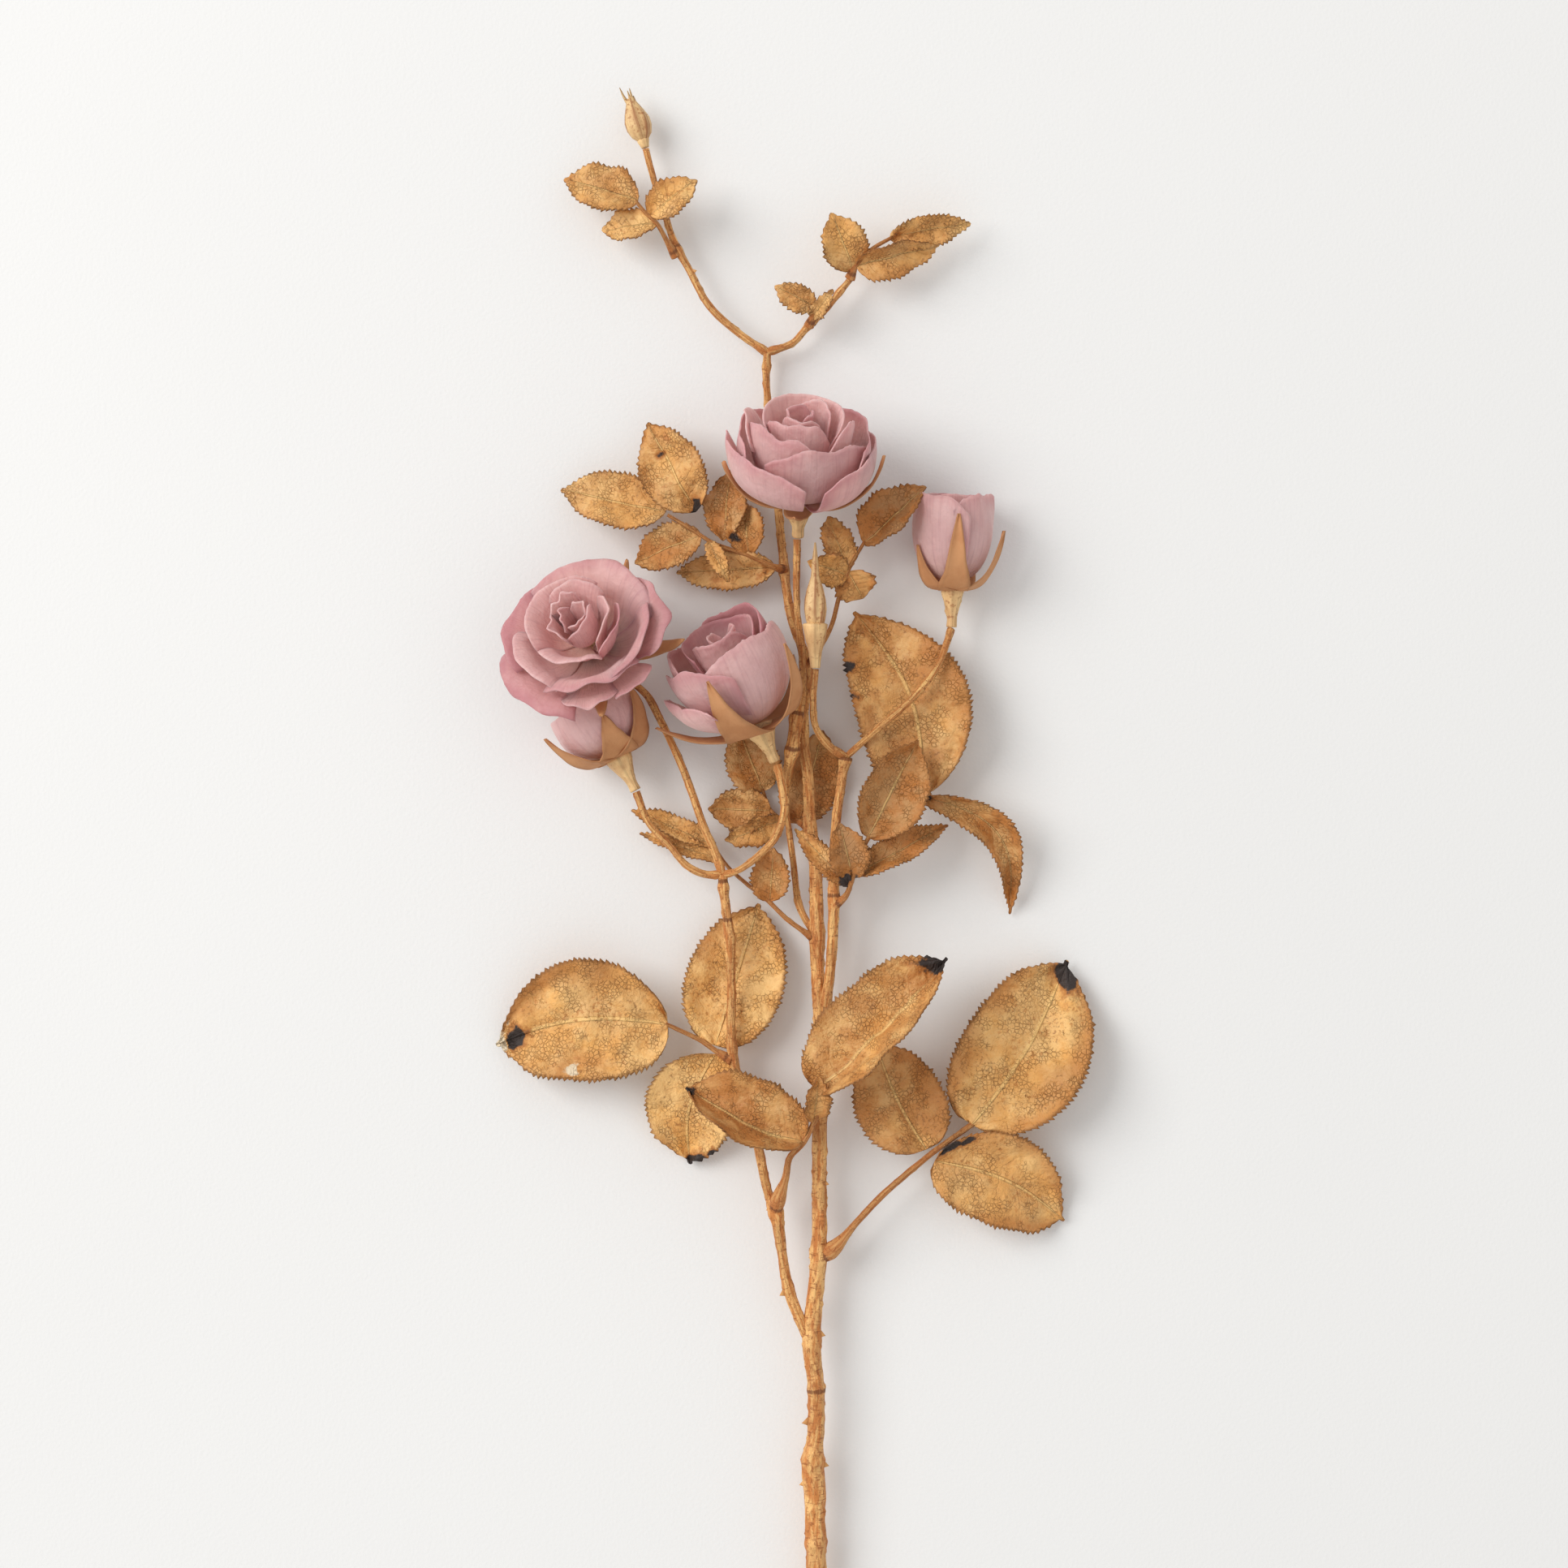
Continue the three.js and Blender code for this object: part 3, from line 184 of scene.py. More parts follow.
# Each leaf: its stalk (x, y, z) from its stem outwards, how stout that is, and its leaflets.
LEAVES = {
    "top_left_leaf": {
        "stalk": [
            (-36.2, 229, 8.2), (-38.8, 233, 10.5), (-41.8, 238.3, 12), (-45.1, 241.4, 12.5),
            (-48.7, 245.6, 12.5),
        ],
        "leaflets": [
            leaflet((-47.7, 245.6, 12.5), (-71.4, 253, 9), 15.5, roll=15, cup=25, hook=2),
            leaflet((-44.3, 241.2, 12.5), (-29.5, 251.6, 15), 12, roll=-10, cup=20),
            leaflet((-41.9, 238.5, 12), (-59.3, 237, 8), 10.5, roll=20, cup=25),
        ],
    },
    "top_right_leaf": {
        "stalk": [(17.6, 222, 9.4), (19.6, 226, 11.5), (24, 230.3, 13), (30.5, 234.1, 13.5)],
        "leaflets": [
            leaflet((18.4, 224.2, 11), (11.7, 241.5, 15), 15, roll=12, cup=25),
            leaflet((19.4, 225.5, 11.6), (45.5, 232.3, 10), 13, roll=35, fold=25, cup=15),
            leaflet((29.8, 234.2, 13.5), (55.2, 238.9, 11), 10, roll=25, cup=20, hook=1,
                    burns=[(0.1, 0.2, 3, 0.4)]),
        ],
    },
    "twig_leaf": {
        "stalk": [(5, 207.6, 8), (6, 209.8, 10), (7.2, 213.1, 11.5)],
        "leaflets": [
            leaflet((7, 212.7, 11.4), (-5.7, 219.3, 12.5), 8.5, roll=-15, fold=15),
            leaflet((5.6, 209.3, 9.8), (12.4, 217.6, 16.5), 4.5, roll=10, fold=15),
        ],
    },
    "upper_left_leaf": {
        "stalk": [
            (-2.6, 132, 6.8), (-5.5, 132.6, 10), (-14, 136.2, 11.5), (-24.2, 139.7, 12.5),
            (-31.6, 144.3, 13), (-38.7, 148.5, 13),
        ],
        "leaflets": [
            leaflet((-39.1, 149.5, 13), (-72.4, 156.8, 8), 18, roll=10, cup=22, hook=2, dark=0.05),
            leaflet((-30.2, 149.7, 13), (-44.9, 177.2, 11), 20.5, roll=-12, cup=20,
                    burns=[(0.66, 0.15, 2.2, 0.45), (0.02, -0.3, 2.6, 1), (0.78, -0.5, 3, 0.32)]),
            leaflet((-28.5, 142.5, 12.8), (-49.1, 133.9, 8), 14, roll=12, cup=25, dark=0.25),
            leaflet((-5.5, 132.6, 9.6), (-36.3, 131.1, 4), 12, roll=-6, cup=10,
                    burns=[(0.1, 0.3, 4, 0.35), (0.6, 0.3, 4, 0.3)]),
            leaflet((-26, 140.6, 12.6), (-19.8, 127.6, 15.5), 5.5, fold=20),
            leaflet((-21.6, 140.7, 12), (-19.3, 163.3, 6), 13.5, roll=-15, cup=20, dark=0.5,
                    full=0.9),
            leaflet((-13.6, 136.2, 11.4), (-15.1, 153, 8.5), 14, roll=-10, fold=22, cup=25,
                    dark=0.3, burns=[(0.3, 0.5, 4, 0.5)]),
        ],
    },
    "upper_right_leaf": {
        "stalk": [
            (4.4, 101.7, 9.6), (8.3, 107.6, 11), (11.8, 114.1, 12.5), (14.4, 123.6, 14),
            (17.4, 132, 14.5), (22.2, 140.4, 14.5),
        ],
        "leaflets": [
            leaflet((21.8, 139.6, 14.5), (40.8, 156.8, 19.5), 18, roll=-30, fold=25, cup=15,
                    dark=0.8),
            leaflet((16.6, 130, 14.4), (4.4, 133.8, 18.5), 11, roll=-10, fold=15, cup=25, bow=2),
            leaflet((16.9, 131, 14.4), (21.6, 122.7, 11.5), 13, roll=10, cup=20, dark=0.3),
            leaflet((17, 131.4, 14.4), (10.7, 148.3, 10.5), 10, roll=10, cup=15, dark=0.2),
        ],
    },
    "right_leaf": {
        "stalk": [
            (12.6, 28, 15.2), (16.2, 31.1, 17), (18.2, 36.1, 18.5), (21.7, 46.1, 19),
            (29, 57.5, 15.5), (36.1, 61, 12.5), (40.5, 62, 11.5),
        ],
        "leaflets": [
            leaflet((40.1, 61.8, 11.6), (19, 118.9, 6.5), 36, fold=6, cup=16, sway=-7, full=0.5,
                    dark=0.3, burns=[(0.74, 0.93, 3.4, 0.6), (0.58, 1, 4, 0.45),
                    (0.9, 0.2, 5, 0.3)]),
            leaflet((22.9, 49.1, 18.7), (38.5, 79, 16), 23, roll=15, fold=18, cup=25, bow=2,
                    dark=0.75),
            leaflet((18.3, 36.5, 18.4), (14.4, 53.6, 22), 13, roll=10, fold=10, cup=25, dark=0.75,
                    burns=[(0.0, 0, 5, 0.5)]),
            leaflet((18.7, 37.7, 18.4), (48.1, 52.9, 9), 11, roll=-15, fold=24, cup=24, dark=0.5),
            leaflet((39.5, 61.8, 12), (67.6, 24.9, 1.8), 13, fold=24, cup=30, sway=12, bow=3,
                    dark=0.45, burns=[(0.02, 0, 3, 0.7), (0.5, -0.6, 5, 0.3)]),
            leaflet((17.6, 34.1, 18), (0.6, 51.8, 15.6), 8, fold=28, cup=10, bow=1,
                    burns=[(0.05, 0, 4, 1)]),
        ],
    },
    "middle_left_leaf": {
        "stalk": [
            (7.2, 17.3, 10.5), (3.5, 19.9, 12), (-2, 23.9, 12), (-8.2, 29.9, 10.5),
            (-14.1, 34.4, 9), (-20.1, 39.8, 8), (-24.5, 45.9, 7.6),
        ],
        "leaflets": [
            leaflet((-23.9, 46.4, 7.6), (-50.2, 57.4, 5), 8, roll=20, fold=30, cup=10),
            leaflet((-21.6, 41.7, 7.8), (-47.6, 50.3, 5), 6, roll=20, fold=30, cup=10),
            leaflet((-7.2, 29.1, 10.8), (-6, 45.9, 11.5), 12.5, roll=-8, fold=15, cup=20, dark=0.5,
                    burns=[(0.2, 0.4, 4, 0.35)]),
        ],
    },
    "behind_leaf": {
        "stalk": [
            (5, 51.9, 9.5), (1.5, 53.9, 5.2), (-3, 54.3, 3.6), (-7, 57.4, 3.2), (-9.5, 64, 3.2),
        ],
        "leaflets": [
            leaflet((-9.3, 63, 3.2), (-17.1, 83.6, 6), 16.5, roll=6, cup=15, bow=0.5, dark=0.35,
                    full=0.5),
            leaflet((-6.8, 57.2, 3.2), (-26.4, 57.9, 3.4), 14, cup=20, bow=0.5, dark=0.2),
            leaflet((2, 53.7, 5), (9.3, 82.2, 4), 18, cup=10, bow=0.2, dark=0.55, full=0.5,
                    burns=[(0.08, 0, 4, 0.35)]),
            leaflet((-3, 54.3, 3.8), (-21.1, 47.9, 6.6), 9.5, roll=-25, fold=15, cup=25),
        ],
    },
    "lower_left_leaf": {
        "stout": 1.15,
        "stalk": [
            (-18.6, -19.8, 11.6), (-23.1, -17.5, 10.4), (-28.6, -13.8, 10), (-39.4, -8.7, 10),
        ],
        "leaflets": [
            leaflet((-38.6, -8.9, 10), (-92.3, -15.6, 4), 38, fold=6, cup=16, bow=4, sway=-5,
                    full=0.5, burns=[(0.88, 0.05, 3.8, 1), (1.03, 0, -6.5, 1),
                    (0.56, 0.84, -2.2, 1)]),
            leaflet((-24.1, -15.4, 10), (-10.5, 28.3, 4.5), 30.5, cup=10, bow=-1.5, full=0.5),
            leaflet((-24.1, -18.4, 10), (-32.1, -52.8, 3), 28, cup=16, bow=0.5, sway=-4, full=0.42,
                    burns=[(0.93, 0.75, 3, 0.9), (0.98, 0.3, 2.6, 0.9), (0.84, 0.98, 2, 0.9)]),
        ],
    },
    "lower_middle_leaf": {
        "stout": 1.4,
        "stalk": [
            (-5.4, -66.5, 12.6), (-4.4, -62, 15), (-2.2, -55.3, 17.2), (-1, -49.2, 18.4),
            (3.4, -44.2, 19.4), (6.8, -37.5, 20), (9.7, -30.5, 20.4),
        ],
        "leaflets": [
            leaflet((3, -44.6, 19.4), (-32.9, -27.8, 17.5), 30, roll=31, fold=31, cup=24, sway=2,
                    bow=2, full=0.5, dark=0.4, burns=[(0.99, 0.2, 4, 0.6), (0.5, -0.4, 6, 0.3)]),
            leaflet((7.5, -28.6, 20.4), (47.1, 12.3, 22), 34, roll=-33, fold=33, cup=16, sway=-1.5,
                    bow=2, full=0.4, dark=0.3, burns=[(0.98, 0.3, 8, 1)]),
            leaflet((6.4, -38.1, 20), (7.9, -23.8, 24.5), 8.5, roll=20, fold=20, cup=20),
        ],
    },
    "lower_right_leaf": {
        "stout": 1.55,
        "stalk": [
            (8, -81.1, 10.5), (13.1, -77.5, 11), (20.1, -69.4, 11.8), (28.1, -61.1, 12),
            (42.5, -49, 11.4), (56.2, -39.2, 10.8),
        ],
        "leaflets": [
            leaflet((41.3, -47.4, 11.4), (25.7, -15, 8), 28, roll=4, cup=14, sway=1.5, full=0.45,
                    dark=0.35),
            leaflet((55.3, -39.9, 10.8), (85.4, 10.7, 4), 40, cup=14, bow=3, sway=-2.6, full=0.45,
                    burns=[(0.93, -0.25, 5, 1), (0.97, 0.3, 2.5, 1), (1.01, -0.2, -1.6, 1)]),
            leaflet((43.8, -51, 11.4), (84.6, -70.5, 2.2), 29, cup=12, bow=2, sway=4, full=0.5,
                    burns=[(0.05, 0.8, 3, 0.8), (0.13, 0.85, 2.6, 0.7)]),
        ],
    },
}

# ---- Blooms ---------------------------------------------------------------------------

def petal(angle, span, radius, height, flare, **rim):
    """A petal's row: its middle and half its span in degrees round the bloom's axis (0 is its
    right, 90 its front), its rim's radius and height, how far that flares, and what shapes it.
    """
    return dict(rim, angle=angle, span=span, radius=radius, height=height, flare=flare)


def sepal(angle, reach, width, **bend):
    """A sepal's row: its angle, the share of the cup it covers, its width, and how it bends."""
    return dict(bend, angle=angle, reach=reach, width=width)


# Each bloom: where its petals start, the way it faces, its cup and its seed case, its sepals,
# and its petals from the heart outwards. Petals in brackets are one piece.
# A petal's tint above 0 darkens it towards the rim colour, partly its own deeper mauve and partly
# painted shade. Below 0 it is painted light: it takes the rim colour away from petals that lie in
# shadow, such as the hearts and the left bud.
BLOOMS = {
    "open_rose": {
        "base": (-61.6, 106.5, 21.5), "axis": (-0.22, 0.46, 0.86), "belly": 0.82, "rim": 4.6,
        "neck": 1.6, "length": 9.5, "radius": 24, "height": 14, "flare": 2,
        "sepals": [
            sepal(30, 0.8, 9, lift=3, drop=3),
            sepal(102, 0.6, 9, lift=1, drop=1),
            sepal(175, 0.55, 9),
            sepal(248, 0.6, 9),
            sepal(318, 0.7, 9, lift=2),
        ],
        "heart": [
            petal(258, 44, 6.4, 23, 0.5, wave=0.9, curl=0.7, tint=-0.3),
            petal(186, 50, 6.6, 21.2, 0.5, wave=1.0, curl=0.8, tint=-0.3),
            petal(330, 60, 3.6, 23.6, 0.2, wave=0.5, tint=-0.5),
            petal(215, 60, 3.8, 22, 0.4, wave=0.8, tint=-0.3),
            petal(80, 80, 2.6, 21.5, 0.4, wave=0.5, tint=-0.3),
        ],
        "petals": [
            petal(66, 78, 7.2, 22.6, -2, slant=-0.1, curl=0.3, tint=-0.1),
            petal(292, 46, 9.8, 23.4, 0.2, curl=2.4, lip=0.7, tint=-0.45),
            petal(243, 70, 12.8, 21.6, 0.6, curl=2.6, lip=0.66, tint=-0.4),
            petal(128, 46, 12, 20, 0.5, curl=2.4, tint=-0.3),
            petal(24, 50, 9.6, 23.6, 0.2, curl=1.2, tint=-0.4),
            petal(38, 42, 13.2, 21, 0.3, curl=0.7, tint=0.3),
            (petal(172, 38, 18.4, 16.6, 1, curl=2.2, tint=-0.35),
             petal(216, 40, 21, 15, 1, curl=3.4, lip=0.6, wave=0.8, tint=0.65)),
            (petal(100, 44, 18, 17, 1.2, curl=3, lip=0.68, wave=0.8),
             petal(108, 24, 22.4, 9.5, 1.6, curl=1, wave=0.8)),
            (petal(45, 42, 20, 17.6, 0.8, curl=1.8),
             petal(12, 37, 23.4, 15, 2, curl=1.6, wave=1.4, tint=0.1),
             petal(70, 18, 23.4, 9.5, 1.6, curl=0.8)),
            (petal(308, 66, 19.6, 17.4, 0.4, curl=4.2, lip=0.56, wave=0.8),
             petal(160, 40, 23.4, 11.8, 1.8, curl=3.8, lip=0.6, wave=0.9, tint=0.6)),
        ],
    },
    "top_rose": {
        "base": (2, 152.5, 19.8), "axis": (0.04, 0.84, 0.54), "belly": 1.12, "rim": 5, "neck": 1.7,
        "length": 12.5, "radius": 21, "height": 24, "flare": 1.5,
        "sepals": [
            sepal(95, 0.36, 10.5),
            sepal(10, 0.86, 8, lift=0.5),
            sepal(175, 0.7, 10),
            sepal(235, 0.5, 10),
            sepal(305, 0.5, 10),
        ],
        "heart": [
            petal(270, 125, 10.4, 31.2, 0.6, curl=1.4, tint=-0.4),
            petal(188, 34, 15.6, 29.6, 1, point=0.14, curl=1.6, tint=-0.5),
            petal(310, 58, 7.8, 31, 0.2, tint=-0.3),
            petal(100, 70, 6, 30.6, 0.2, wave=0.3, tint=-0.1),
            petal(220, 80, 4.4, 31, 0.2, wave=0.3),
            petal(20, 90, 2.6, 30.6, 0.2, wave=0.3),
        ],
        "petals": [
            petal(108, 66, 10.4, 30.8, -0.2, curl=0.4, tint=-0.2),
            petal(24, 50, 14.2, 31.4, 0.4, point=0.2, curl=0.8, tint=-0.25),
            petal(130, 60, 15.6, 29, -0.8, curl=0.8),
            petal(192, 52, 19.6, 24.5, -0.4, curl=1, wave=0.6),
            petal(344, 58, 20.4, 24.5, -0.4, curl=1, wave=0.6, tint=0.1),
            petal(68, 56, 18.4, 26, -1.2, curl=0.9, wave=0.6),
            petal(146, 60, 22, 21.5, -0.2, curl=1.4, wave=0.9),
            petal(14, 58, 22, 20.5, -0.4, curl=1.2, wave=0.9),
        ],
    },
    "centre_rose": {
        "base": (-10.6, 83.6, 20), "axis": (-0.4, 0.88, 0.26), "belly": 1.18, "bowl": 0.6,
        "rim": 5, "neck": 1.7, "length": 12.5, "radius": 18.5, "height": 24, "flare": 1,
        "sepals": [
            sepal(186, 0.85, 11, lift=7, drop=7),
            sepal(112, 1, 17, lift=1),
            sepal(40, 0.98, 13, lift=0.5),
            sepal(330, 0.7, 10),
            sepal(260, 0.6, 10),
        ],
        "heart": [
            petal(270, 120, 10.6, 33, 0.2, curl=0.8, tint=0.35),
            petal(110, 90, 8.5, 32, 0.2),
            petal(20, 90, 5, 32, 0.2),
            petal(200, 90, 3, 32, 0.2),
        ],
        "petals": [
            petal(318, 84, 15.6, 34.5, -2, curl=0.8, wave=0.6, tint=0.6),
            petal(205, 54, 16.8, 31, -1, curl=0.8, tint=-0.1),
            petal(150, 58, 18.2, 27, 0.4, curl=1.2, wave=0.6),
            petal(56, 70, 18.6, 29.5, -2.4, curl=0.8, wave=0.5, tint=-0.25),
            petal(166, 46, 20, 18, 1.4, wave=1, curl=1.2),
        ],
    },
    "right_bud": {
        "base": (49.4, 126.4, 12.1), "axis": (0.03, 0.99, 0.03), "belly": 1.2, "bowl": 0.8,
        "rim": 3.7, "neck": 1.5, "length": 12.5, "radius": 11.2, "height": 25, "flare": 0.6,
        "sepals": [
            sepal(88, 0.92, 12),
            sepal(150, 0.66, 12, lift=-0.5),
            sepal(18, 0.8, 11, lift=1.5),
            sepal(225, 0.6, 10),
            sepal(300, 0.6, 10),
        ],
        "heart": [
            petal(270, 120, 8.8, 29, 0.2, wave=0.6),
            petal(80, 90, 6.6, 28.5, 0.2, wave=0.6),
            petal(200, 90, 4, 28, 0.2, wave=0.5),
        ],
        "petals": [
            petal(24, 70, 12, 29, -2, wave=0.8, curl=1, tint=-0.2),
            petal(150, 78, 13, 28, -1.6, wave=0.9, curl=1.2, tint=-0.2),
        ],
    },
    "left_bud": {
        "base": (-54.3, 74.6, 12.2), "axis": (-0.46, 0.88, -0.03), "belly": 1.2, "bowl": 1,
        "rim": 4.4, "neck": 1.5, "length": 12.5, "radius": 12.4, "height": 17, "flare": 0.6,
        "sepals": [
            sepal(82, 0.8, 16),
            sepal(34, 0.98, 15, lift=0.5),
            sepal(150, 0.95, 13, lift=4, drop=2),
            sepal(225, 0.6, 10),
            sepal(300, 0.6, 10),
        ],
        "heart": [
            petal(270, 120, 11, 18, 0.2, wave=0.4),
            petal(60, 90, 8, 18, 0.2, wave=0.4),
            petal(180, 90, 5, 18, 0.2, wave=0.4),
        ],
        "petals": [
            petal(100, 115, 13, 18, 0.2, wave=0.8, curl=0.8, tint=-0.7),
        ],
    },
}

# Closed buds: where they start, the way they point, and (distance, radius) along them.
CLOSED_BUDS = {
    "closed_bud": {
        "base": (6.8, 101, 21.2), "axis": (0, 0.99, 0.05),
        "case": [(0, 1.5), (2, 1.7), (5, 2.1), (9, 3.1), (12.2, 3.75), (13.4, 3.9), (13.8, 3)],
        "body": [
            (12.5, 2.2), (15, 2.9), (18, 3.3), (21, 3.1), (24, 2.5), (28, 1.3), (33, 0.9),
            (38.4, 0.25),
        ],
    },
    "twig_bud": {
        "base": (-45.7, 262.7, 8), "axis": (-0.3, 0.95, 0),
        "case": [(0, 1.2), (1, 1.5), (2.2, 1.9), (3, 1.7)],
        "body": [(2.4, 1.6), (4, 3), (6.5, 3.8), (9, 3.8), (11.5, 3), (14, 1.9), (16, 1.1)],
    },
}

# ---- User settings --------------------------------------------------------------------

def colour(name, description, default):
    """A colour the user may change."""
    return FloatVectorProperty(
        name=name, description=description, default=default, size=3, min=0, max=1, subtype="COLOR"
    )


def length(name, description, default_mm):
    """A length the user may change, kept in metres."""
    return FloatProperty(
        name=name, description=description, default=default_mm * MM, min=0, unit="LENGTH",
        subtype="DISTANCE", precision=5,
    )


class SpraySizes(bpy.types.PropertyGroup):
    """Thicknesses and relief of the dried pieces."""

    leaf_thickness: length("Leaf thickness", "Thickness of a leaflet", 0.4)
    petal_thickness: length("Petal thickness", "Thickness of a petal", 0.45)
    sepal_thickness: length("Sepal thickness", "Thickness of a sepal", 0.45)
    leaf_stalk_radius: length("Leaf stalk radius", "Radius of a leaf's stalk", 0.75)
    tooth_pitch: length("Tooth pitch", "Distance between the teeth of a leaf's edge", 1.6)
    tooth_depth: length("Tooth depth", "How far the teeth stand out", 1.1)
    vein_depth: length("Vein depth", "How deep the side veins sink into a leaflet", 0.25)


class SprayColours(bpy.types.PropertyGroup):
    """Colours of the dried pieces."""

    bark: colour("Bark", "Golden tan of the stems", (0.92, 0.45, 0.14))
    bark_fleck: colour("Bark fleck", "Red-brown flecks of the stems", (0.36, 0.105, 0.022))
    leaf_light: colour("Light leaf", "Pale golden tan of a leaflet's middle", (0.98, 0.6, 0.225))
    leaf_dark: colour("Dark leaf", "Greyed tan of a leaflet's underside", (0.46, 0.225, 0.085))
    leaf_margin: colour("Leaf margin", "Orange-brown of a leaflet's margin", (0.52, 0.2, 0.045))
    burnt: colour("Burnt", "Dark brown of scorched tips", (0.035, 0.022, 0.018))
    petal_light: colour("Light petal", "Light mauve of a petal", (0.78, 0.44, 0.425))
    # petal_shade is the petals' own deeper mauve at the rim. It is also the colour of the painted
    # shade that a petal's tint adds.
    petal_shade: colour("Petal margin", "Dusty mauve of a petal's rim", (0.46, 0.19, 0.21))
    petal_foot: colour("Petal foot", "Warm cream of a petal's foot", (0.74, 0.44, 0.36))
    sepal: colour("Sepal", "Flat tan of the sepals", (0.62, 0.3, 0.13))
    hip: colour("Seed case", "Cream of the seed cases", (0.97, 0.66, 0.31))


# ---- Small tools ----------------------------------------------------------------------

# Points closer than this are one (mm), and half the width of a dark ring round a rod (mm).
WELD, RING_HALF = 1e-4, 0.8


def smoothstep(low, high, value):
    """0 below low, 1 above high and smooth between them."""
    share = min(max((value - low) / (high - low), 0), 1)
    return share * share * (3 - 2 * share)


def curve_between(points, index, share):
    """The place share of the way from point index to the next, on a smooth curve."""
    p1, p2 = points[index], points[index + 1]
    p0 = points[index - 1] if index else p1 * 2 - p2
    p3 = points[index + 2] if index + 2 < len(points) else p2 * 2 - p1
    gaps = [max((b - a).length ** 0.5, 1e-4) for a, b in ((p0, p1), (p1, p2), (p2, p3))]
    leave = ((p1 - p0) / gaps[0] - (p2 - p0) / (gaps[0] + gaps[1]) + (p2 - p1) / gaps[1]) * gaps[1]
    reach = ((p2 - p1) / gaps[1] - (p3 - p1) / (gaps[1] + gaps[2]) + (p3 - p2) / gaps[2]) * gaps[1]
    a, b = 2 * p1 - 2 * p2 + leave + reach, 3 * p2 - 3 * p1 - 2 * leave - reach
    return ((a * share + b) * share + leave) * share + p1


def walk(points, step):
    """(centre, radius, direction, distance) about every step mm along (x, y, z, radius) points."""
    centres = [Vector(p[:3]) for p in points]
    places = []
    for i in range(len(points) - 1):
        count = max(1, math.ceil((centres[i + 1] - centres[i]).length / step))
        places += [(curve_between(centres, i, k / count),
                    points[i][3] + (points[i + 1][3] - points[i][3]) * k / count)
                   for k in range(count)]
    places.append((centres[-1], points[-1][3]))
    walked, distance = [], 0
    for i, (centre, radius) in enumerate(places):
        before, after = places[max(i - 1, 0)][0], places[min(i + 1, len(places) - 1)][0]
        distance += (centre - before).length if i else 0
        walked.append((centre, radius, (after - before).normalized(), distance))
    return walked


def new_bmesh():
    """An empty mesh with a UV map and the layers the materials read."""
    bm = bmesh.new()
    bm.loops.layers.uv.new("UVMap")
    bm.verts.layers.float.new(TINT)
    bm.verts.layers.float.new(SCORCH)
    return bm


def new_grid(bm, rows, columns):
    """A grid from -0.5 to 0.5 both ways: its vertices and its faces, always in one order."""
    verts = bmesh.ops.create_grid(
        bm, x_segments=rows, y_segments=columns, size=0.5, calc_uvs=True
    )["verts"]
    return verts, list(dict.fromkeys(face for vert in verts for face in vert.link_faces))


def finish_sheet(bm, verts, faces, thickness, material):
    """Closes a sheet's pointed ends and gives it its thickness."""
    uv = bm.loops.layers.uv.active
    bmesh.ops.remove_doubles(bm, verts=verts, dist=WELD)
    faces = [face for face in faces if face.is_valid]
    for face in faces:
        face.material_index = material
        face.smooth = True
    before = set(bm.faces)
    # The shell is made with no thickness and then moved out along its normals, because
    # solidify's own offset runs away where a sheet is folded tightly.
    shell = bmesh.ops.solidify(bm, geom=faces, thickness=0)
    bm.normal_update()
    for vert in (item for item in shell["geom"] if isinstance(item, bmesh.types.BMVert)):
        vert.co += vert.normal * thickness
    for face in [f for f in bm.faces if f not in before]:
        face.material_index = material
        face.smooth = True
        for loop in face.loops:
            if loop[uv].uv.length_squared == 0:
                known = [o[uv].uv.copy() for o in loop.vert.link_loops if o[uv].uv.length_squared]
                if known:
                    loop[uv].uv = known[0]


def add_rod(bm, points, sides, step, material=0, relief=None, tint=0.0, rings=()):
    """A closed rod through points, with dark rings at some distances.

    relief(distance, turn) is the share its radius grows by.
    """
    uv, tints = bm.loops.layers.uv.active, bm.verts.layers.float[TINT]
    marks = bm.verts.layers.float[SCORCH]
    places = walk(points, step)
    last = len(places) - 1
    verts, faces = new_grid(bm, last, sides)
    for vert in verts:
        centre, radius, along, distance = places[round((vert.co.x + 0.5) * last)]
        turn = math.tau * (vert.co.y + 0.5) - math.pi / 2
        side = along.cross(Z_UP).normalized()
        top = side.cross(along)
        if relief:
            radius *= 1 + relief(distance, turn)
        vert.co = centre + (side * math.cos(turn) + top * math.sin(turn)) * radius
        vert[tints] = tint
        vert[marks] = sum(math.exp(-((distance - at) / RING_HALF) ** 2) for at in rings)
    cm = places[-1][3] / 10
    for face in faces:
        face.material_index = material
        face.smooth = True
        for loop in face.loops:
            loop[uv].uv.x *= cm
    bmesh.ops.remove_doubles(bm, verts=verts, dist=WELD)
    faces = [face for face in faces if face.is_valid]
    edges = dict.fromkeys(edge for face in faces for edge in face.edges)
    ends = [edge for edge in edges if edge.is_boundary]
    caps = bmesh.ops.holes_fill(bm, edges=ends, sides=0)["faces"]
    for cap in caps:
        cap.material_index = material
    bmesh.ops.recalc_face_normals(bm, faces=faces + caps)
    return places


def add_piece(name, bm, materials):
    """Makes a piece of a finished mesh in millimetres, in place of the frame's solid."""
    bmesh.ops.scale(bm, vec=(MM,) * 3, verts=bm.verts)
    mesh = bpy.data.meshes.new(f"natural_{name}")
    bm.to_mesh(mesh)
    bm.free()
    for material in materials:
        mesh.materials.append(bpy.data.materials[material])
    piece = bpy.data.objects.new(f"natural_{name}", mesh)
    bpy.context.scene.collection.objects.link(piece)
    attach(piece, "root")
    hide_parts(name)


# ---- Stem pieces ----------------------------------------------------------------------

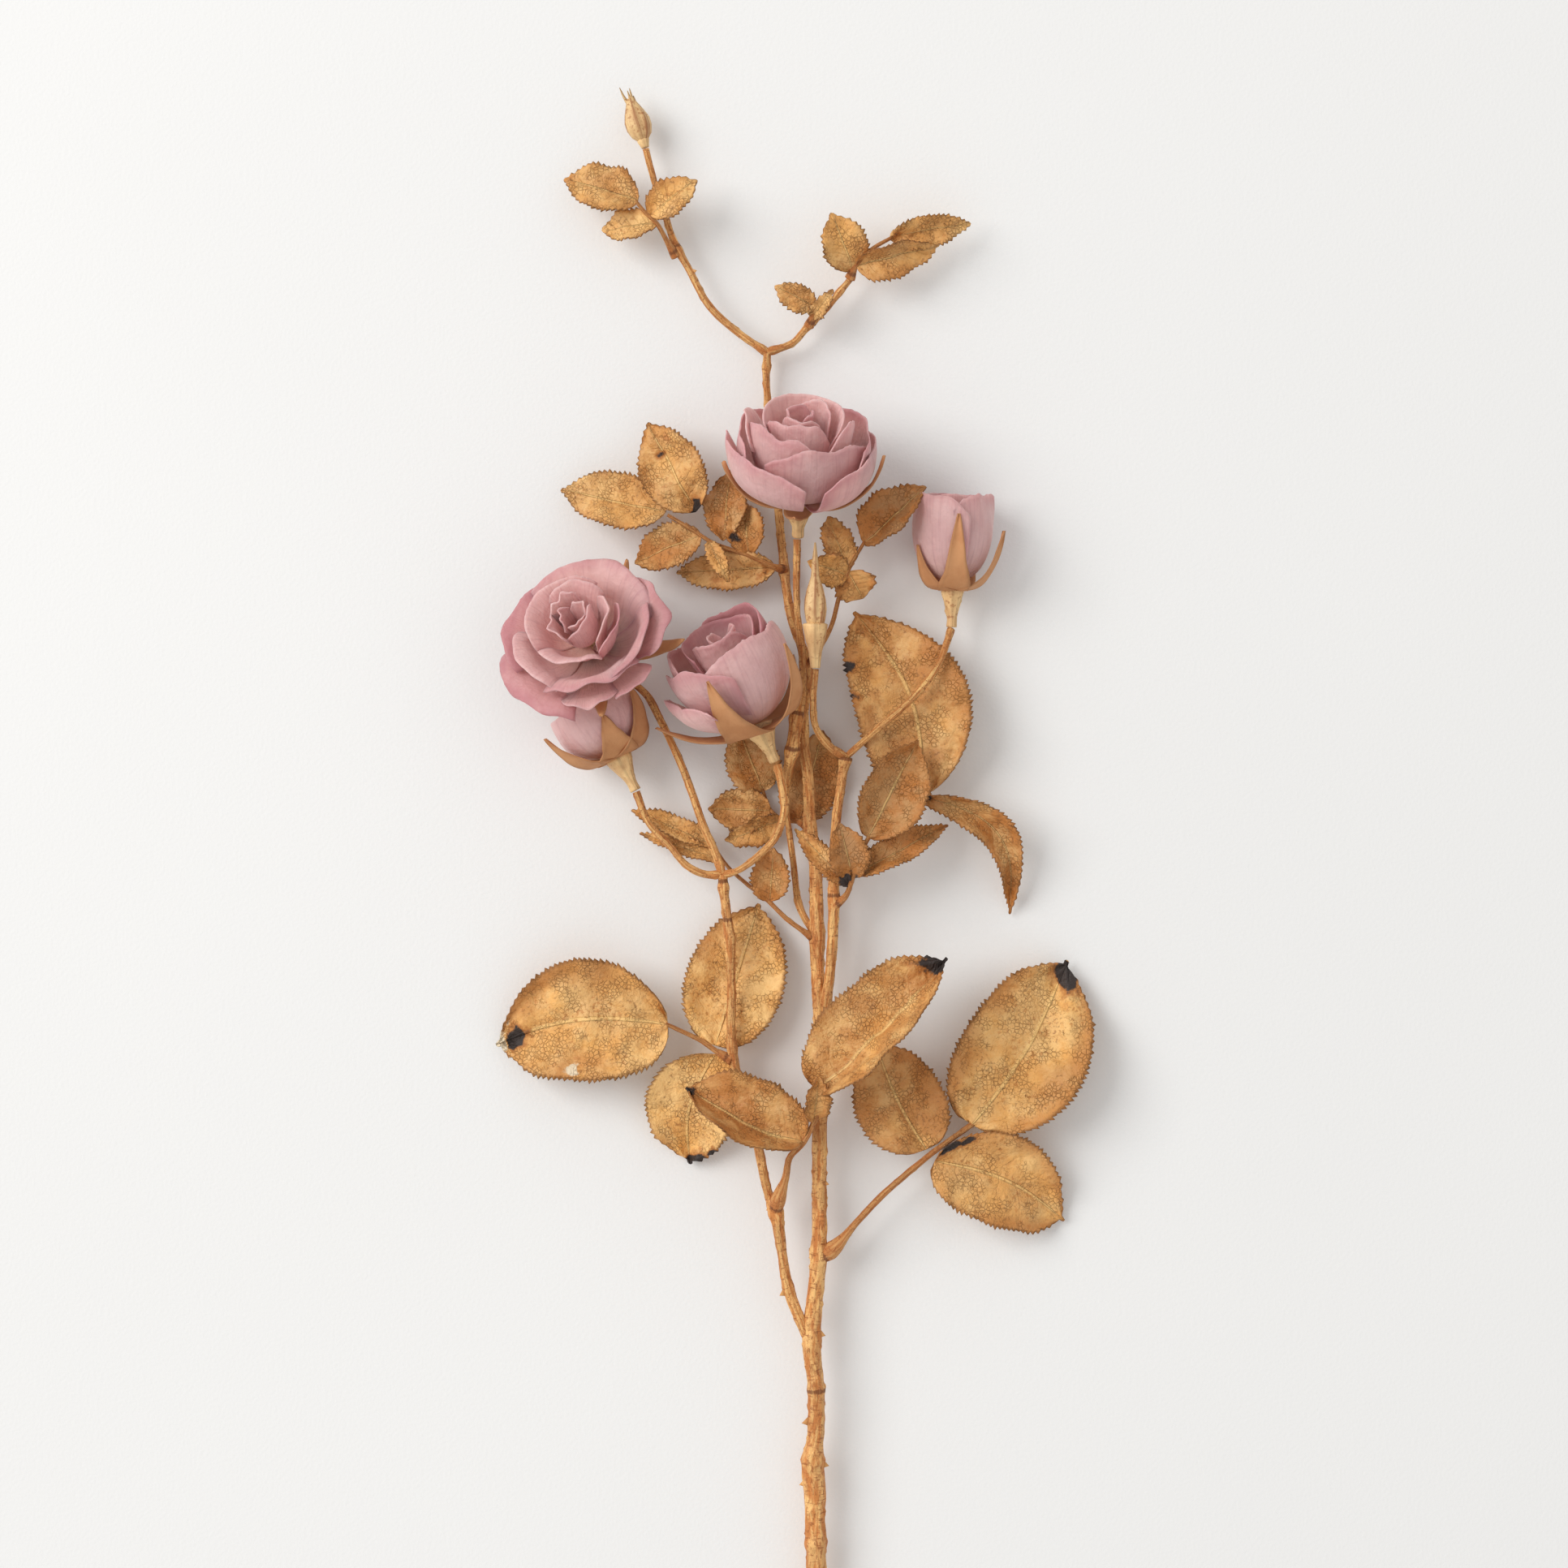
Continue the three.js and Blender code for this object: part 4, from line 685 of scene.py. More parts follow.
def bark_relief(name, knots):
    """Ridges along a stem, a rough skin and swollen rings."""
    seed = sum(map(ord, name)) % 97

    def relief(distance, turn):
        x, y = math.cos(turn), math.sin(turn)
        rough = noise.noise(Vector((x * 0.9, y * 0.9, distance * 0.09 + seed)))
        fine = noise.noise(Vector((x * 2.4, y * 2.4, distance * 0.35 + seed)))
        rings = sum(
            swell * math.exp(-((distance - at) / half) ** 2) for at, swell, half in knots
        )
        nubs = max(0, noise.noise(Vector((x * 1.6, y * 1.6, distance * 0.5 - seed))) - 0.35)
        return 0.1 * rough + 0.1 * fine + 0.5 * nubs + rings - 0.05

    return relief


def add_thorn(bm, places, distance, degrees, size):
    """A hooked thorn that stands on the side of a stem."""
    centre, radius, along, _ = min(places, key=lambda place: abs(place[3] - distance))
    side = along.cross(Z_UP).normalized()
    turn = math.radians(degrees)
    out = side * math.cos(turn) + side.cross(along) * math.sin(turn)
    place = Matrix((along, out.cross(along), out)).transposed().to_4x4()
    foot = centre + out * radius * 0.75
    place.translation = centre + out * (radius * 0.75 + size / 2)
    verts = bmesh.ops.create_cone(
        bm, cap_ends=True, segments=10, radius1=size * 0.75, radius2=0.04, depth=size, matrix=place
    )["verts"]
    flat = out.cross(along)
    for vert in verts:
        offset = vert.co - foot
        height = offset.dot(out) / size
        vert.co -= flat * offset.dot(flat) * 0.5 + along * size * 0.35 * height ** 2
        for face in vert.link_faces:
            face.smooth = True


def build_stem(name):
    """One stem or stalk with its rings and thorns."""
    bm = new_bmesh()
    thick = max(point[3] for point in STEMS[name]) > 2
    places = add_rod(
        bm, STEMS[name], 30 if thick else 20, 0.6, relief=bark_relief(name, KNOTS[name]),
        rings=SPLITS.get(name, ()),
    )
    for thorn in THORNS.get(name, []):
        add_thorn(bm, places, *thorn)
    source = random.Random(name)
    for at, spread, count in BRISTLES.get(name, []):
        for _ in range(count):
            add_thorn(bm, places, at + source.uniform(-spread, spread), source.uniform(-40, 220),
                      source.uniform(0.7, 1.3))
    add_piece(name, bm, ["ridged_bark"])


# ---- Leaf pieces ----------------------------------------------------------------------

# Side veins along a leaflet, and how far they slant back.
VEINS, VEIN_SLANT = 7, 0.16
# Leaflets narrower than this are darker and more crumpled.
SMALL_WIDTH, SMALL_TINT, SMALL_CRUMPLE = 22, 0.15, 1.5
# A leaf's stalk: its tint, and its knot where it is stout and where it is thin.
STALK_TINT, STOUT_KNOT, THIN_KNOT = 0.45, (4.5, 1.1, 5), (0, 0.9, 4)


def leaf_outline(u, full):
    """Half-width at u (0 at the base, 1 at the tip) as a share of the widest."""
    body = max(math.sin(math.pi * min(u / 0.965, 0.9999) ** 0.85), 0) ** full
    tip = 1.6 * (1 - u) if u > 0.85 else 0
    return max(body * (1 - 0.25 * smoothstep(0.8, 0.96, u)), tip)


def scorch_depth(ratio):
    """How burnt a spot is, for its distance from the middle of the burn in burn radii."""
    return max(0, 1.25 - ratio, 0.62 - 0.3 * ratio)


def add_leaflet(bm, sizes, source, base, tip, width, roll=0, fold=8, cup=12, bow=1.5, sway=0,
                hook=0, full=0.62, dark=0.0, burns=()):
    """One leaflet blade with a toothed edge, sunk veins and scorched places."""
    tints, scorches = bm.verts.layers.float[TINT], bm.verts.layers.float[SCORCH]
    start, chord = Vector(base), Vector(tip) - Vector(base)
    along, span = chord.normalized(), chord.length
    flat_side = Z_UP.cross(along).normalized()
    flat_up = along.cross(flat_side)
    turn = Matrix.Rotation(math.radians(roll), 3, along)
    side, up = turn @ flat_side, turn @ flat_up
    teeth = max(6, round(span / (sizes.tooth_pitch / MM)))
    columns = max(8, 2 * round(width / 2.4))
    tooth_depth = sizes.tooth_depth / MM * min(1, 0.65 + width / 80)
    vein_depth = sizes.vein_depth / MM * min(1, width / 20)
    small = width < SMALL_WIDTH
    seed = source.uniform(0, 100)
    tint = dark + source.uniform(-0.08, 0.12) + SMALL_TINT * small
    crumple = SMALL_CRUMPLE if small else 1.0
    tooth = [source.uniform(0.45, 1.25) * tooth_depth for _ in range(2 * teeth + 2)]
    verts, faces = new_grid(bm, teeth * 4, columns)
    for vert in verts:
        u, across = vert.co.x + 0.5, 2 * vert.co.y
        away, sign = abs(across), math.copysign(1, across)
        half = width / 2 * leaf_outline(u, full)
        if away > 0.99:
            count = u * teeth + 0.001
            half += tooth[int(count) * 2 + (across > 0)] * (count % 1) / 0.75 * smoothstep(
                0, 0.12, u) * (1 - 0.6 * smoothstep(0.93, 1, u))
        middle = math.radians(fold + cup * away / 2)
        bend = math.sin(math.pi * u)
        spot = Vector((u * span / 9, across * width / 18, seed))
        fine = Vector((u * span / 4, across * width / 8, seed + 9))
        vein = abs(math.sin(
            math.pi * (u - VEIN_SLANT * away + 0.06 * noise.noise(spot)) * VEINS))
        lift = crumple * (noise.noise(spot) * (0.6 + width / 20) + 0.45 * noise.noise(fine))
        lift += vein_depth * (vein ** 0.6 - 0.6) * smoothstep(0.05, 0.3, away) * (
            1 - smoothstep(0.8, 1, away))
        lift += 0.5 * crumple * away ** 3 * math.sin(u * 17 + seed + sign)
        vert.co = (start + chord * u + flat_side * sway * bend
                   + flat_up * (bow * bend - hook * u ** 3)
                   + side * across * half * math.cos(middle)
                   + up * (away * half * math.sin(middle) + lift * min(1, half * 0.5)))
        vert[tints] = tint
        marks = [math.copysign(top * scorch_depth(math.hypot(
            (u - at) * span, (across - off) * max(half, 1)) / abs(reach)), reach)
            for at, off, reach, top in burns]
        vert[scorches] = max(marks, key=abs, default=0)
    finish_sheet(bm, verts, faces, sizes.leaf_thickness / MM, 0)


def build_leaf(name):
    """One compound leaf: its stalk and all its leaflets."""
    leaf, sizes, source = LEAVES[name], bpy.context.scene.spray_sizes, random.Random(name)
    bm = new_bmesh()
    radius = sizes.leaf_stalk_radius / MM * leaf.get("stout", 1)
    last = len(leaf["stalk"]) - 1
    points = [(*p, radius * (1.2 - 0.45 * i / last)) for i, p in enumerate(leaf["stalk"])]
    knot = STOUT_KNOT if radius > 1 else THIN_KNOT
    add_rod(bm, points, 14, 0.7, material=1, tint=STALK_TINT, rings=[2],
            relief=bark_relief(name, [knot]))
    for row in leaf["leaflets"]:
        add_leaflet(bm, sizes, source, **row)
    add_piece(name, bm, ["dried_leaf", "ridged_bark"])


# ---- Bloom pieces ---------------------------------------------------------------------

# How much a petal's rim is rounded off at its corners, and the fingers of the small twig bud:
# (lean to the side, rise, length).
RIM_ROUND = 0.16
BUD_TIPS = ((-0.5, 0.3, 6.5), (0, 0.1, 5), (0.22, 0.4, 5.4), (0.5, 0.1, 3))


def cubic(poles, s):
    """The point at s on a cubic through four poles, and the way out from it."""
    weights = [(1 - s) ** 3, 3 * s * (1 - s) ** 2, 3 * s * s * (1 - s), s ** 3]
    slopes = [-(1 - s) ** 2, (1 - s) ** 2 - 2 * s * (1 - s), 2 * s * (1 - s) - s * s, s * s]
    r, h = (sum(w * pole[i] for w, pole in zip(weights, poles)) for i in (0, 1))
    dr, dh = (sum(w * pole[i] for w, pole in zip(slopes, poles)) for i in (0, 1))
    size = math.hypot(dr, dh) or 1
    return r, h, dh / size, -dr / size


def around(degrees, radius, height):
    """A point at an angle round a bloom's axis, in the bloom's own frame."""
    turn = math.radians(degrees)
    return Vector((radius * math.cos(turn), height, radius * math.sin(turn)))


def bloom_frame(shape):
    """Turns and moves a bloom's own frame to its place on the spray."""
    up = Vector(shape["axis"]).normalized()
    front = (Z_UP - up * up.z).normalized()
    turned = Matrix((up.cross(front), up, front)).transposed().to_4x4()
    turned.translation = Vector(shape["base"])
    return turned


def add_petal(bm, foot, bulge, source, place, thickness, angle, span, radius, height, flare,
              point=0.0, slant=0.0, wave=0.3, curl=0.3, lip=0.72, tint=0.0):
    """A petal bent to a cubic profile, with a rounded and wavy rim that rolls out from lip.

    bulge places the profile's two middle poles: share of the radius, mm over the foot, share of
    the radius, share of the height.
    """
    low, rise, high, lift = bulge
    poles = [foot, (low * radius, foot[1] + rise), (high * radius, lift * height),
             (radius + flare, height)]
    tints = bm.verts.layers.float[TINT]
    seed = source.uniform(0, 100)
    # tint above 0 is partly the petal's own deeper mauve and partly painted shade; below 0 it is
    # painted light.
    shade = tint + source.uniform(-0.1, 0.1)
    verts, faces = new_grid(bm, 26, max(14, int(span * radius / 28)))
    for vert in verts:
        u, across = vert.co.x + 0.5, 2 * vert.co.y
        away = abs(across)
        ragged = 0.05 * noise.noise(Vector((across * 2.2, seed, 0)))
        ragged += 0.012 * noise.noise(Vector((across * 14, seed, 5)))
        s = u * (1 - RIM_ROUND * away ** 4 - point * away + slant * across + ragged)
        r, h, out_r, out_h = cubic(poles, s)
        rim = max(0, (u - lip) / (1 - lip)) ** 1.6
        edge = smoothstep(0.7, 1, away)
        dent = noise.noise(Vector((across * 1.6, u * 1.8, seed)))
        bump = wave * (math.sin(across * 4 + seed) + 0.6 * math.sin(across * 9 + seed)) * rim
        bump += 0.7 * dent * u
        bump += curl * rim + 0.3 * curl * edge * u
        r, h = r + out_r * bump, h + out_h * bump - 0.55 * curl * rim ** 2
        vert.co = place @ around(angle + span * across, max(r, 0.3), h)
        vert[tints] = shade
    finish_sheet(bm, verts, faces, thickness, 0)


def build_petals(name):
    """A bloom's petals, from the heart outwards: each starts lower and further out."""
    shape, source = BLOOMS[name], random.Random(name)
    thickness = bpy.context.scene.spray_sizes.petal_thickness / MM
    place = bloom_frame(shape)
    bulge = (shape.get("bowl", 0.85), 0.5, 1.04 * shape["belly"], 0.55)
    for index, group in enumerate(shape["petals"], 1):
        foot = (1.2 + 0.32 * index, 0.8 * (len(shape["petals"]) + 1 - index))
        bm = new_bmesh()
        for row in group if isinstance(group, tuple) else (group,):
            add_petal(bm, foot, bulge, source, place, thickness, **row)
        add_piece(f"{name}_petal_{index}", bm, ["mauve_petal"])


def build_heart(name):
    """The small inner petals of a bloom, wrapped round each other, in one piece."""
    shape, source = BLOOMS[name], random.Random(name + "heart")
    thickness = bpy.context.scene.spray_sizes.petal_thickness / MM
    place = bloom_frame(shape)
    bm = new_bmesh()
    for row in shape["heart"]:
        foot = (0.6, 0.35 * row["height"])
        add_petal(bm, foot, (0.9, 1, 1.05, 0.7), source, place, thickness, **row)
    add_piece(f"{name}_heart", bm, ["mauve_petal"])


def add_sepal(bm, cup, source, place, thickness, angle, reach, width, lift=0, drop=0):
    """A pointed sepal that follows the outside of the cup and bends away from it."""
    poles = [(cup["rim"] * 0.55, -1.1), (0.85 * cup["radius"] + 2.2, -1.6),
             (1.08 * cup["radius"] + 3, 0.5 * cup["height"]),
             (cup["radius"] + cup["flare"] + 2.4, cup["height"])]
    seed = source.uniform(0, 100)
    verts, faces = new_grid(bm, 28, 8)
    for vert in verts:
        u, across = vert.co.x + 0.5, 2 * vert.co.y
        r, h, out_r, out_h = cubic(poles, u * reach)
        bend = u ** 2
        half = width / 2 * (1 - u) ** 0.8 * (0.75 + 0.25 * smoothstep(0, 0.25, u))
        half *= 1 + 0.12 * noise.noise(Vector((u * 6, math.copysign(1, across), seed)))
        bump = 0.5 * noise.noise(Vector((u * 3, across, seed))) + 0.5 * across ** 2 * u
        co = around(angle, r + lift * bend + out_r * bump, h - drop * bend + out_h * bump)
        vert.co = place @ (co + around(angle + 90, across * half, 0))
    finish_sheet(bm, verts, faces, thickness, 1)


def build_calyx(name):
    """A bloom's seed case and its sepals."""
    shape, source = BLOOMS[name], random.Random(name + "calyx")
    thickness = bpy.context.scene.spray_sizes.sepal_thickness / MM
    place = bloom_frame(shape)
    bm = new_bmesh()
    size, neck, rim = shape["length"], shape["neck"], shape["rim"]
    profile = [(-size, neck), (-size * 0.9, neck * 1.02), (-size * 0.75, neck * 1.15),
               (-size * 0.55, (neck * 1.15 + rim * 0.78) * 0.48), (-size * 0.35, rim * 0.78),
               (-2.6, rim * 0.95), (-1.6, rim), (-0.7, rim * 0.93), (-0.3, rim * 0.6)]
    points = [(*(place @ Vector((0, h, 0))), r) for h, r in profile]
    add_rod(bm, points, 28, 0.7, relief=bark_relief(name, [(0.5, 0.12, 1)]))
    for row in shape["sepals"]:
        add_sepal(bm, shape, source, place, thickness, **row)
    add_piece(f"{name}_calyx", bm, ["cream_case", "tan_sepal"])


def ribs(count, depth, twist):
    """Relief with ribs that run along a bud and turn slowly round it."""
    return lambda distance, turn: depth * math.cos(count * turn + twist * distance)


def build_closed_bud(name):
    """A closed bud: its seed case and its ribbed body with a drawn-out tip."""
    shape = CLOSED_BUDS[name]
    base, axis = Vector(shape["base"]), Vector(shape["axis"]).normalized()
    bm = new_bmesh()
    for material, (part, relief) in enumerate((("case", None), ("body", ribs(7, 0.09, 0.12)))):
        points = [(*(base + axis * d), r) for d, r in shape[part]]
        add_rod(bm, points, 24, 0.6, material=material, relief=relief)
    if name == "twig_bud":
        side = axis.cross(Z_UP).normalized()
        for lean, rise, size in BUD_TIPS:
            foot = base + axis * 13.5 + side * lean * 1.2
            tip = foot + axis * size + side * lean * size * 0.45 + Z_UP * rise * size * 0.4
            mid = (foot + tip) / 2 + side * lean * 0.5
            add_rod(bm, [(*foot, 0.8), (*mid, 0.42), (*tip, 0.12)], 8, 0.6, material=1)
    add_piece(name, bm, ["cream_case", "ribbed_bud"])


# ---- Materials ------------------------------------------------------------------------

def shaded(colour, *shares):
    """A colour with all its channels, or each of them, taken by a share, to 1 at most."""
    return [min(1, channel * share) for channel, share in zip(colour, shares * 3)]


class Graph:
    """Adds nodes to a material or a group and links them."""

    def __init__(self, tree):
        self.tree = tree

    def feed(self, target, value):
        """Links a socket to target, or sets target to a plain value."""
        if isinstance(value, bpy.types.NodeSocket):
            self.tree.links.new(value, target)
        elif hasattr(value, "__len__") and len(value) == 3 and target.type == "RGBA":
            target.default_value = (*value, 1)
        else:
            target.default_value = value

    def add(self, kind, inputs=None, **settings):
        """A node with some inputs fed by name or number."""
        node = self.tree.nodes.new(kind)
        for key, value in settings.items():
            setattr(node, key, value)
        for key, value in (inputs or {}).items():
            self.feed(node.inputs[key], value)
        return node

    def mix(self, share, first, second):
        """The colour share of the way from first to second."""
        node = self.add("ShaderNodeMix", data_type="RGBA")
        for key, value in ((0, share), (6, first), (7, second)):
            self.feed(node.inputs[key], value)
        return node.outputs[2]

    def math(self, operation, first, second=0.0, clamp=False):
        """One sum."""
        return self.add(
            "ShaderNodeMath", {0: first, 1: second}, operation=operation, use_clamp=clamp
        ).outputs[0]

    def times(self, first, second, clamp=False):
        """first times second."""
        return self.math("MULTIPLY", first, second, clamp)

    def plus(self, first, second, clamp=False):
        """first plus second."""
        return self.math("ADD", first, second, clamp)

    def minus(self, first, second):
        """first less second."""
        return self.math("SUBTRACT", first, second)

    def ragged(self, value, amount):
        """A random value round 0.5, moved to lie round 0 and taken by amount."""
        return self.times(self.minus(value, 0.5), amount)

    def step(self, value, low, high, start=0.0, end=1.0):
        """value taken smoothly from low..high to start..end."""
        return self.add(
            "ShaderNodeMapRange", {0: value, 1: low, 2: high, 3: start, 4: end},
            interpolation_type="SMOOTHSTEP",
        ).outputs[0]

    def place(self):
        """The place on the piece."""
        return self.add("ShaderNodeTexCoord").outputs["Object"]

    def noise(self, scale, vector=None, detail=3.0, roughness=0.55, distortion=0.0):
        """Soft random values round 0.5."""
        inputs = {"Scale": scale, "Detail": detail, "Roughness": roughness,
                  "Distortion": distortion,
                  "Vector": self.place() if vector is None else vector}
        return self.add("ShaderNodeTexNoise", inputs).outputs["Fac"]

    def uv(self):
        """(along, across) of the piece's UV map."""
        parts = self.add("ShaderNodeSeparateXYZ",
                         {0: self.add("ShaderNodeUVMap", uv_map="UVMap").outputs[0]})
        return parts.outputs[0], parts.outputs[1]

    def away(self, across):
        """How far a point is from a sheet's midline: 0 on it, 1 at the rim."""
        return self.math("ABSOLUTE", self.minus(self.times(across, 2.0), 1.0))

    def attribute(self, name):
        """A value kept on the piece's vertices."""
        return self.add("ShaderNodeAttribute", attribute_name=name).outputs["Fac"]

    def group(self, name, inputs):
        """One of the shared effects, with its own values."""
        node = self.add("ShaderNodeGroup")
        node.node_tree = bpy.data.node_groups[name]
        for key, value in inputs.items():
            self.feed(node.inputs[key], value)
        return node.outputs[0]

    def spots(self, effect, skin, colour, scale, amount):
        """A skin with the mottle's patches or the speckle's specks of a colour over it."""
        return self.group(effect, {"Color": skin, "Spot Color": colour, "Scale": scale,
                                   "Amount": amount})


# What the mottle and the speckle are given.
SPOT_INPUTS = [("Color", "Color", (1, 1, 1)), ("Spot Color", "Color", (0, 0, 0)),
               ("Scale", "Float", 100.0), ("Amount", "Float", 0.5)]


def new_group(name, inputs, output, output_kind):
    """An empty node group: its graph, its inputs by name, and the end of its one output."""
    tree = bpy.data.node_groups.new(name, "ShaderNodeTree")
    for socket, kind, default in inputs:
        made = tree.interface.new_socket(socket, in_out="INPUT", socket_type=f"NodeSocket{kind}")
        made.default_value = (*default, 1) if kind == "Color" else default
    tree.interface.new_socket(output, in_out="OUTPUT", socket_type=f"NodeSocket{output_kind}")
    graph = Graph(tree)
    given, result = graph.add("NodeGroupInput"), graph.add("NodeGroupOutput")
    return graph, given.outputs, result.inputs[0]


def make_mottle_group():
    """Large soft patches of another colour."""
    graph, given, result = new_group("mottle", SPOT_INPUTS, "Color", "Color")
    cloud = graph.step(graph.noise(given["Scale"], detail=4.0, roughness=0.6), 0.38, 0.64)
    mask = graph.times(cloud, given["Amount"], clamp=True)
    graph.feed(result, graph.mix(mask, given["Color"], given["Spot Color"]))


def make_speckle_group():
    """Small dark specks that come in patches."""
    graph, given, result = new_group("speckle", SPOT_INPUTS, "Color", "Color")
    fine = graph.step(graph.noise(given["Scale"], detail=2.0), 0.56, 0.64)
    coarse = graph.step(graph.noise(graph.times(given["Scale"], 0.12)), 0.4, 0.6)
    mask = graph.times(graph.times(fine, coarse), given["Amount"], clamp=True)
    graph.feed(result, graph.mix(mask, given["Color"], given["Spot Color"]))


def make_fibre_group():
    """Fibres along a rod: its UV map runs in centimetres along it and once round it."""
    graph, given, result = new_group(
        "fibre", [("Along", "Float", 1.0), ("Round", "Float", 4.0)], "Mask", "Float"
    )
    along, turn = graph.uv()
    angle = graph.times(turn, math.tau)
    x, y = (graph.times(graph.math(side, angle), given["Round"]) for side in ("COSINE", "SINE"))
    z = graph.times(along, given["Along"])
    spot = graph.add("ShaderNodeCombineXYZ", {0: x, 1: y, 2: z}).outputs[0]
    graph.feed(result, graph.noise(1.0, spot, detail=4.0, roughness=0.65))


def make_scorch_group():
    """Burnt and bleached places that the piece's scorch layer marks."""
    graph, given, result = new_group(
        "scorch",
        [("Color", "Color", (1, 1, 1)), ("Burnt", "Color", (0, 0, 0)),
         ("Ring", "Color", (0.3, 0.1, 0.02)), ("Bleached", "Color", (0.8, 0.65, 0.45))],
        "Color", "Color",
    )
    ragged = graph.ragged(graph.noise(350.0), 0.9)
    burn = graph.plus(graph.attribute(SCORCH), ragged)
    bleach = graph.plus(graph.times(graph.attribute(SCORCH), -1.0), ragged)
    skin = graph.mix(graph.step(burn, 0.12, 0.4), given["Color"], given["Ring"])
    skin = graph.mix(graph.step(burn, 0.36, 0.55), skin, given["Burnt"])
    graph.feed(result, graph.mix(graph.step(bleach, 0.3, 0.5), skin, given["Bleached"]))


def new_material(name):
    """A material with its graph and its shader."""
    material = bpy.data.materials.new(name)
    material.use_nodes = True
    tree = material.node_tree
    tree.nodes.clear()
    graph = Graph(tree)
    shader = graph.add("ShaderNodeBsdfPrincipled")
    output = graph.add("ShaderNodeOutputMaterial")
    tree.links.new(shader.outputs[0], output.inputs["Surface"])
    return graph, shader


def finish_material(graph, shader, skin, roughness, relief, depth):
    """Gives the shader its colour, its roughness and a relief so many metres deep."""
    bump = graph.add("ShaderNodeBump", {"Height": relief, "Distance": depth, "Strength": 1.0})
    graph.feed(shader.inputs["Base Color"], skin)
    graph.feed(shader.inputs["Roughness"], roughness)
    graph.feed(shader.inputs["Normal"], bump.outputs[0])


def make_bark(colours):
    """Golden, ridged bark with red-brown flecks, scars across it and dark rings."""
    graph, shader = new_material("ridged_bark")
    fleck = colours.bark_fleck
    streaks, threads, scars = (
        graph.group("fibre", {"Along": along, "Round": turns})
        for along, turns in ((1.1, 1.6), (5.0, 3.6), (16.0, 0.9))
    )
    light, dark = shaded(colours.bark, 1.1, 1.3, 1.5), shaded(colours.bark, 0.74, 0.56, 0.45)
    skin = graph.mix(graph.step(streaks, 0.4, 0.6), dark, light)
    skin = graph.mix(graph.times(graph.step(threads, 0.55, 0.62), 0.7), skin, fleck)
    skin = graph.mix(graph.step(scars, 0.57, 0.63, 0.0, 0.8), skin, fleck)
    skin = graph.mix(graph.attribute(TINT), skin, shaded(fleck, 1.15))
    skin = graph.spots("mottle", skin, fleck, 90.0, 0.35)
    skin = graph.spots("speckle", skin, fleck, 800.0, 0.5)
    ring = graph.plus(graph.attribute(SCORCH), graph.ragged(threads, 1.6))
    skin = graph.mix(graph.times(graph.step(ring, 0.35, 0.8), 0.85), skin, shaded(fleck, 0.55))
    relief = graph.plus(streaks, graph.times(threads, 0.6))
    finish_material(graph, shader, skin, graph.step(streaks, 0.3, 0.7, 0.75, 0.5), relief, 0.0009)


def make_leaf(colours):
    """Dried leaf: golden and mottled, with faint veins, specks and scorched places."""
    graph, shader = new_material("dried_leaf")
    along, across = graph.uv()
    away, tint, margin = graph.away(across), graph.attribute(TINT), colours.leaf_margin
    cloud = graph.noise(70.0, detail=6.0, roughness=0.7)
    gold = shaded(colours.leaf_light, 0.93, 0.78, 0.58)
    skin = graph.mix(graph.step(cloud, 0.4, 0.6), colours.leaf_light, gold)
    skin = graph.mix(graph.plus(tint, 0.0, clamp=True), skin, colours.leaf_dark)
    skin = graph.spots("mottle", skin, colours.leaf_dark, 45.0, 0.3)
    rust = graph.step(graph.noise(120.0, detail=5.0), 0.42, 0.6)
    skin = graph.mix(graph.times(rust, graph.times(tint, 2.0, clamp=True)), skin, margin)
    edge = graph.plus(away, graph.ragged(graph.noise(32.0, detail=5.0), 2.8))
    skin = graph.mix(graph.times(graph.step(edge, 0.6, 1.3), 0.8), skin, margin)
    wobble = graph.ragged(graph.noise(110.0), 0.2)
    slanted = graph.plus(graph.minus(along, graph.times(away, VEIN_SLANT)), wobble)
    wave = graph.math("SINE", graph.times(graph.times(slanted, float(VEINS)), math.pi))
    side_vein = graph.times(graph.step(graph.math("ABSOLUTE", wave), 0.3, 0.0),
                            graph.step(away, 0.9, 0.4))
    midrib = graph.step(away, 0.05, 0.015)
    net = graph.add("ShaderNodeTexVoronoi", {"Vector": graph.place(), "Scale": 800.0},
                    feature="DISTANCE_TO_EDGE").outputs["Distance"]
    mesh = graph.times(graph.step(net, 0.12, 0.0), graph.step(graph.noise(150.0), 0.42, 0.6))
    veins = graph.math("MAXIMUM", graph.times(side_vein, 0.5), mesh)
    skin = graph.mix(graph.times(veins, 0.28), skin, margin)
    skin = graph.mix(graph.times(midrib, 0.55), skin, shaded(colours.leaf_light, 1.1))
    skin = graph.spots("speckle", skin, margin, 760.0, 0.65)
    skin = graph.spots("speckle", skin, shaded(margin, 0.45), 1000.0, 0.5)
    rim = graph.times(graph.step(away, 0.93, 1.0), 0.8)
    skin = graph.mix(rim, skin, shaded(margin, 0.55))
    skin = graph.group("scorch", {"Color": skin, "Burnt": colours.burnt, "Ring": margin})
    crumple = graph.times(graph.noise(230.0, detail=5.0, roughness=0.6), 2.4)
    relief = graph.plus(graph.minus(crumple, graph.times(veins, 0.5)), graph.times(midrib, 0.8))
    finish_material(graph, shader, skin, graph.step(cloud, 0.3, 0.7, 0.5, 0.7), relief, 0.0006)


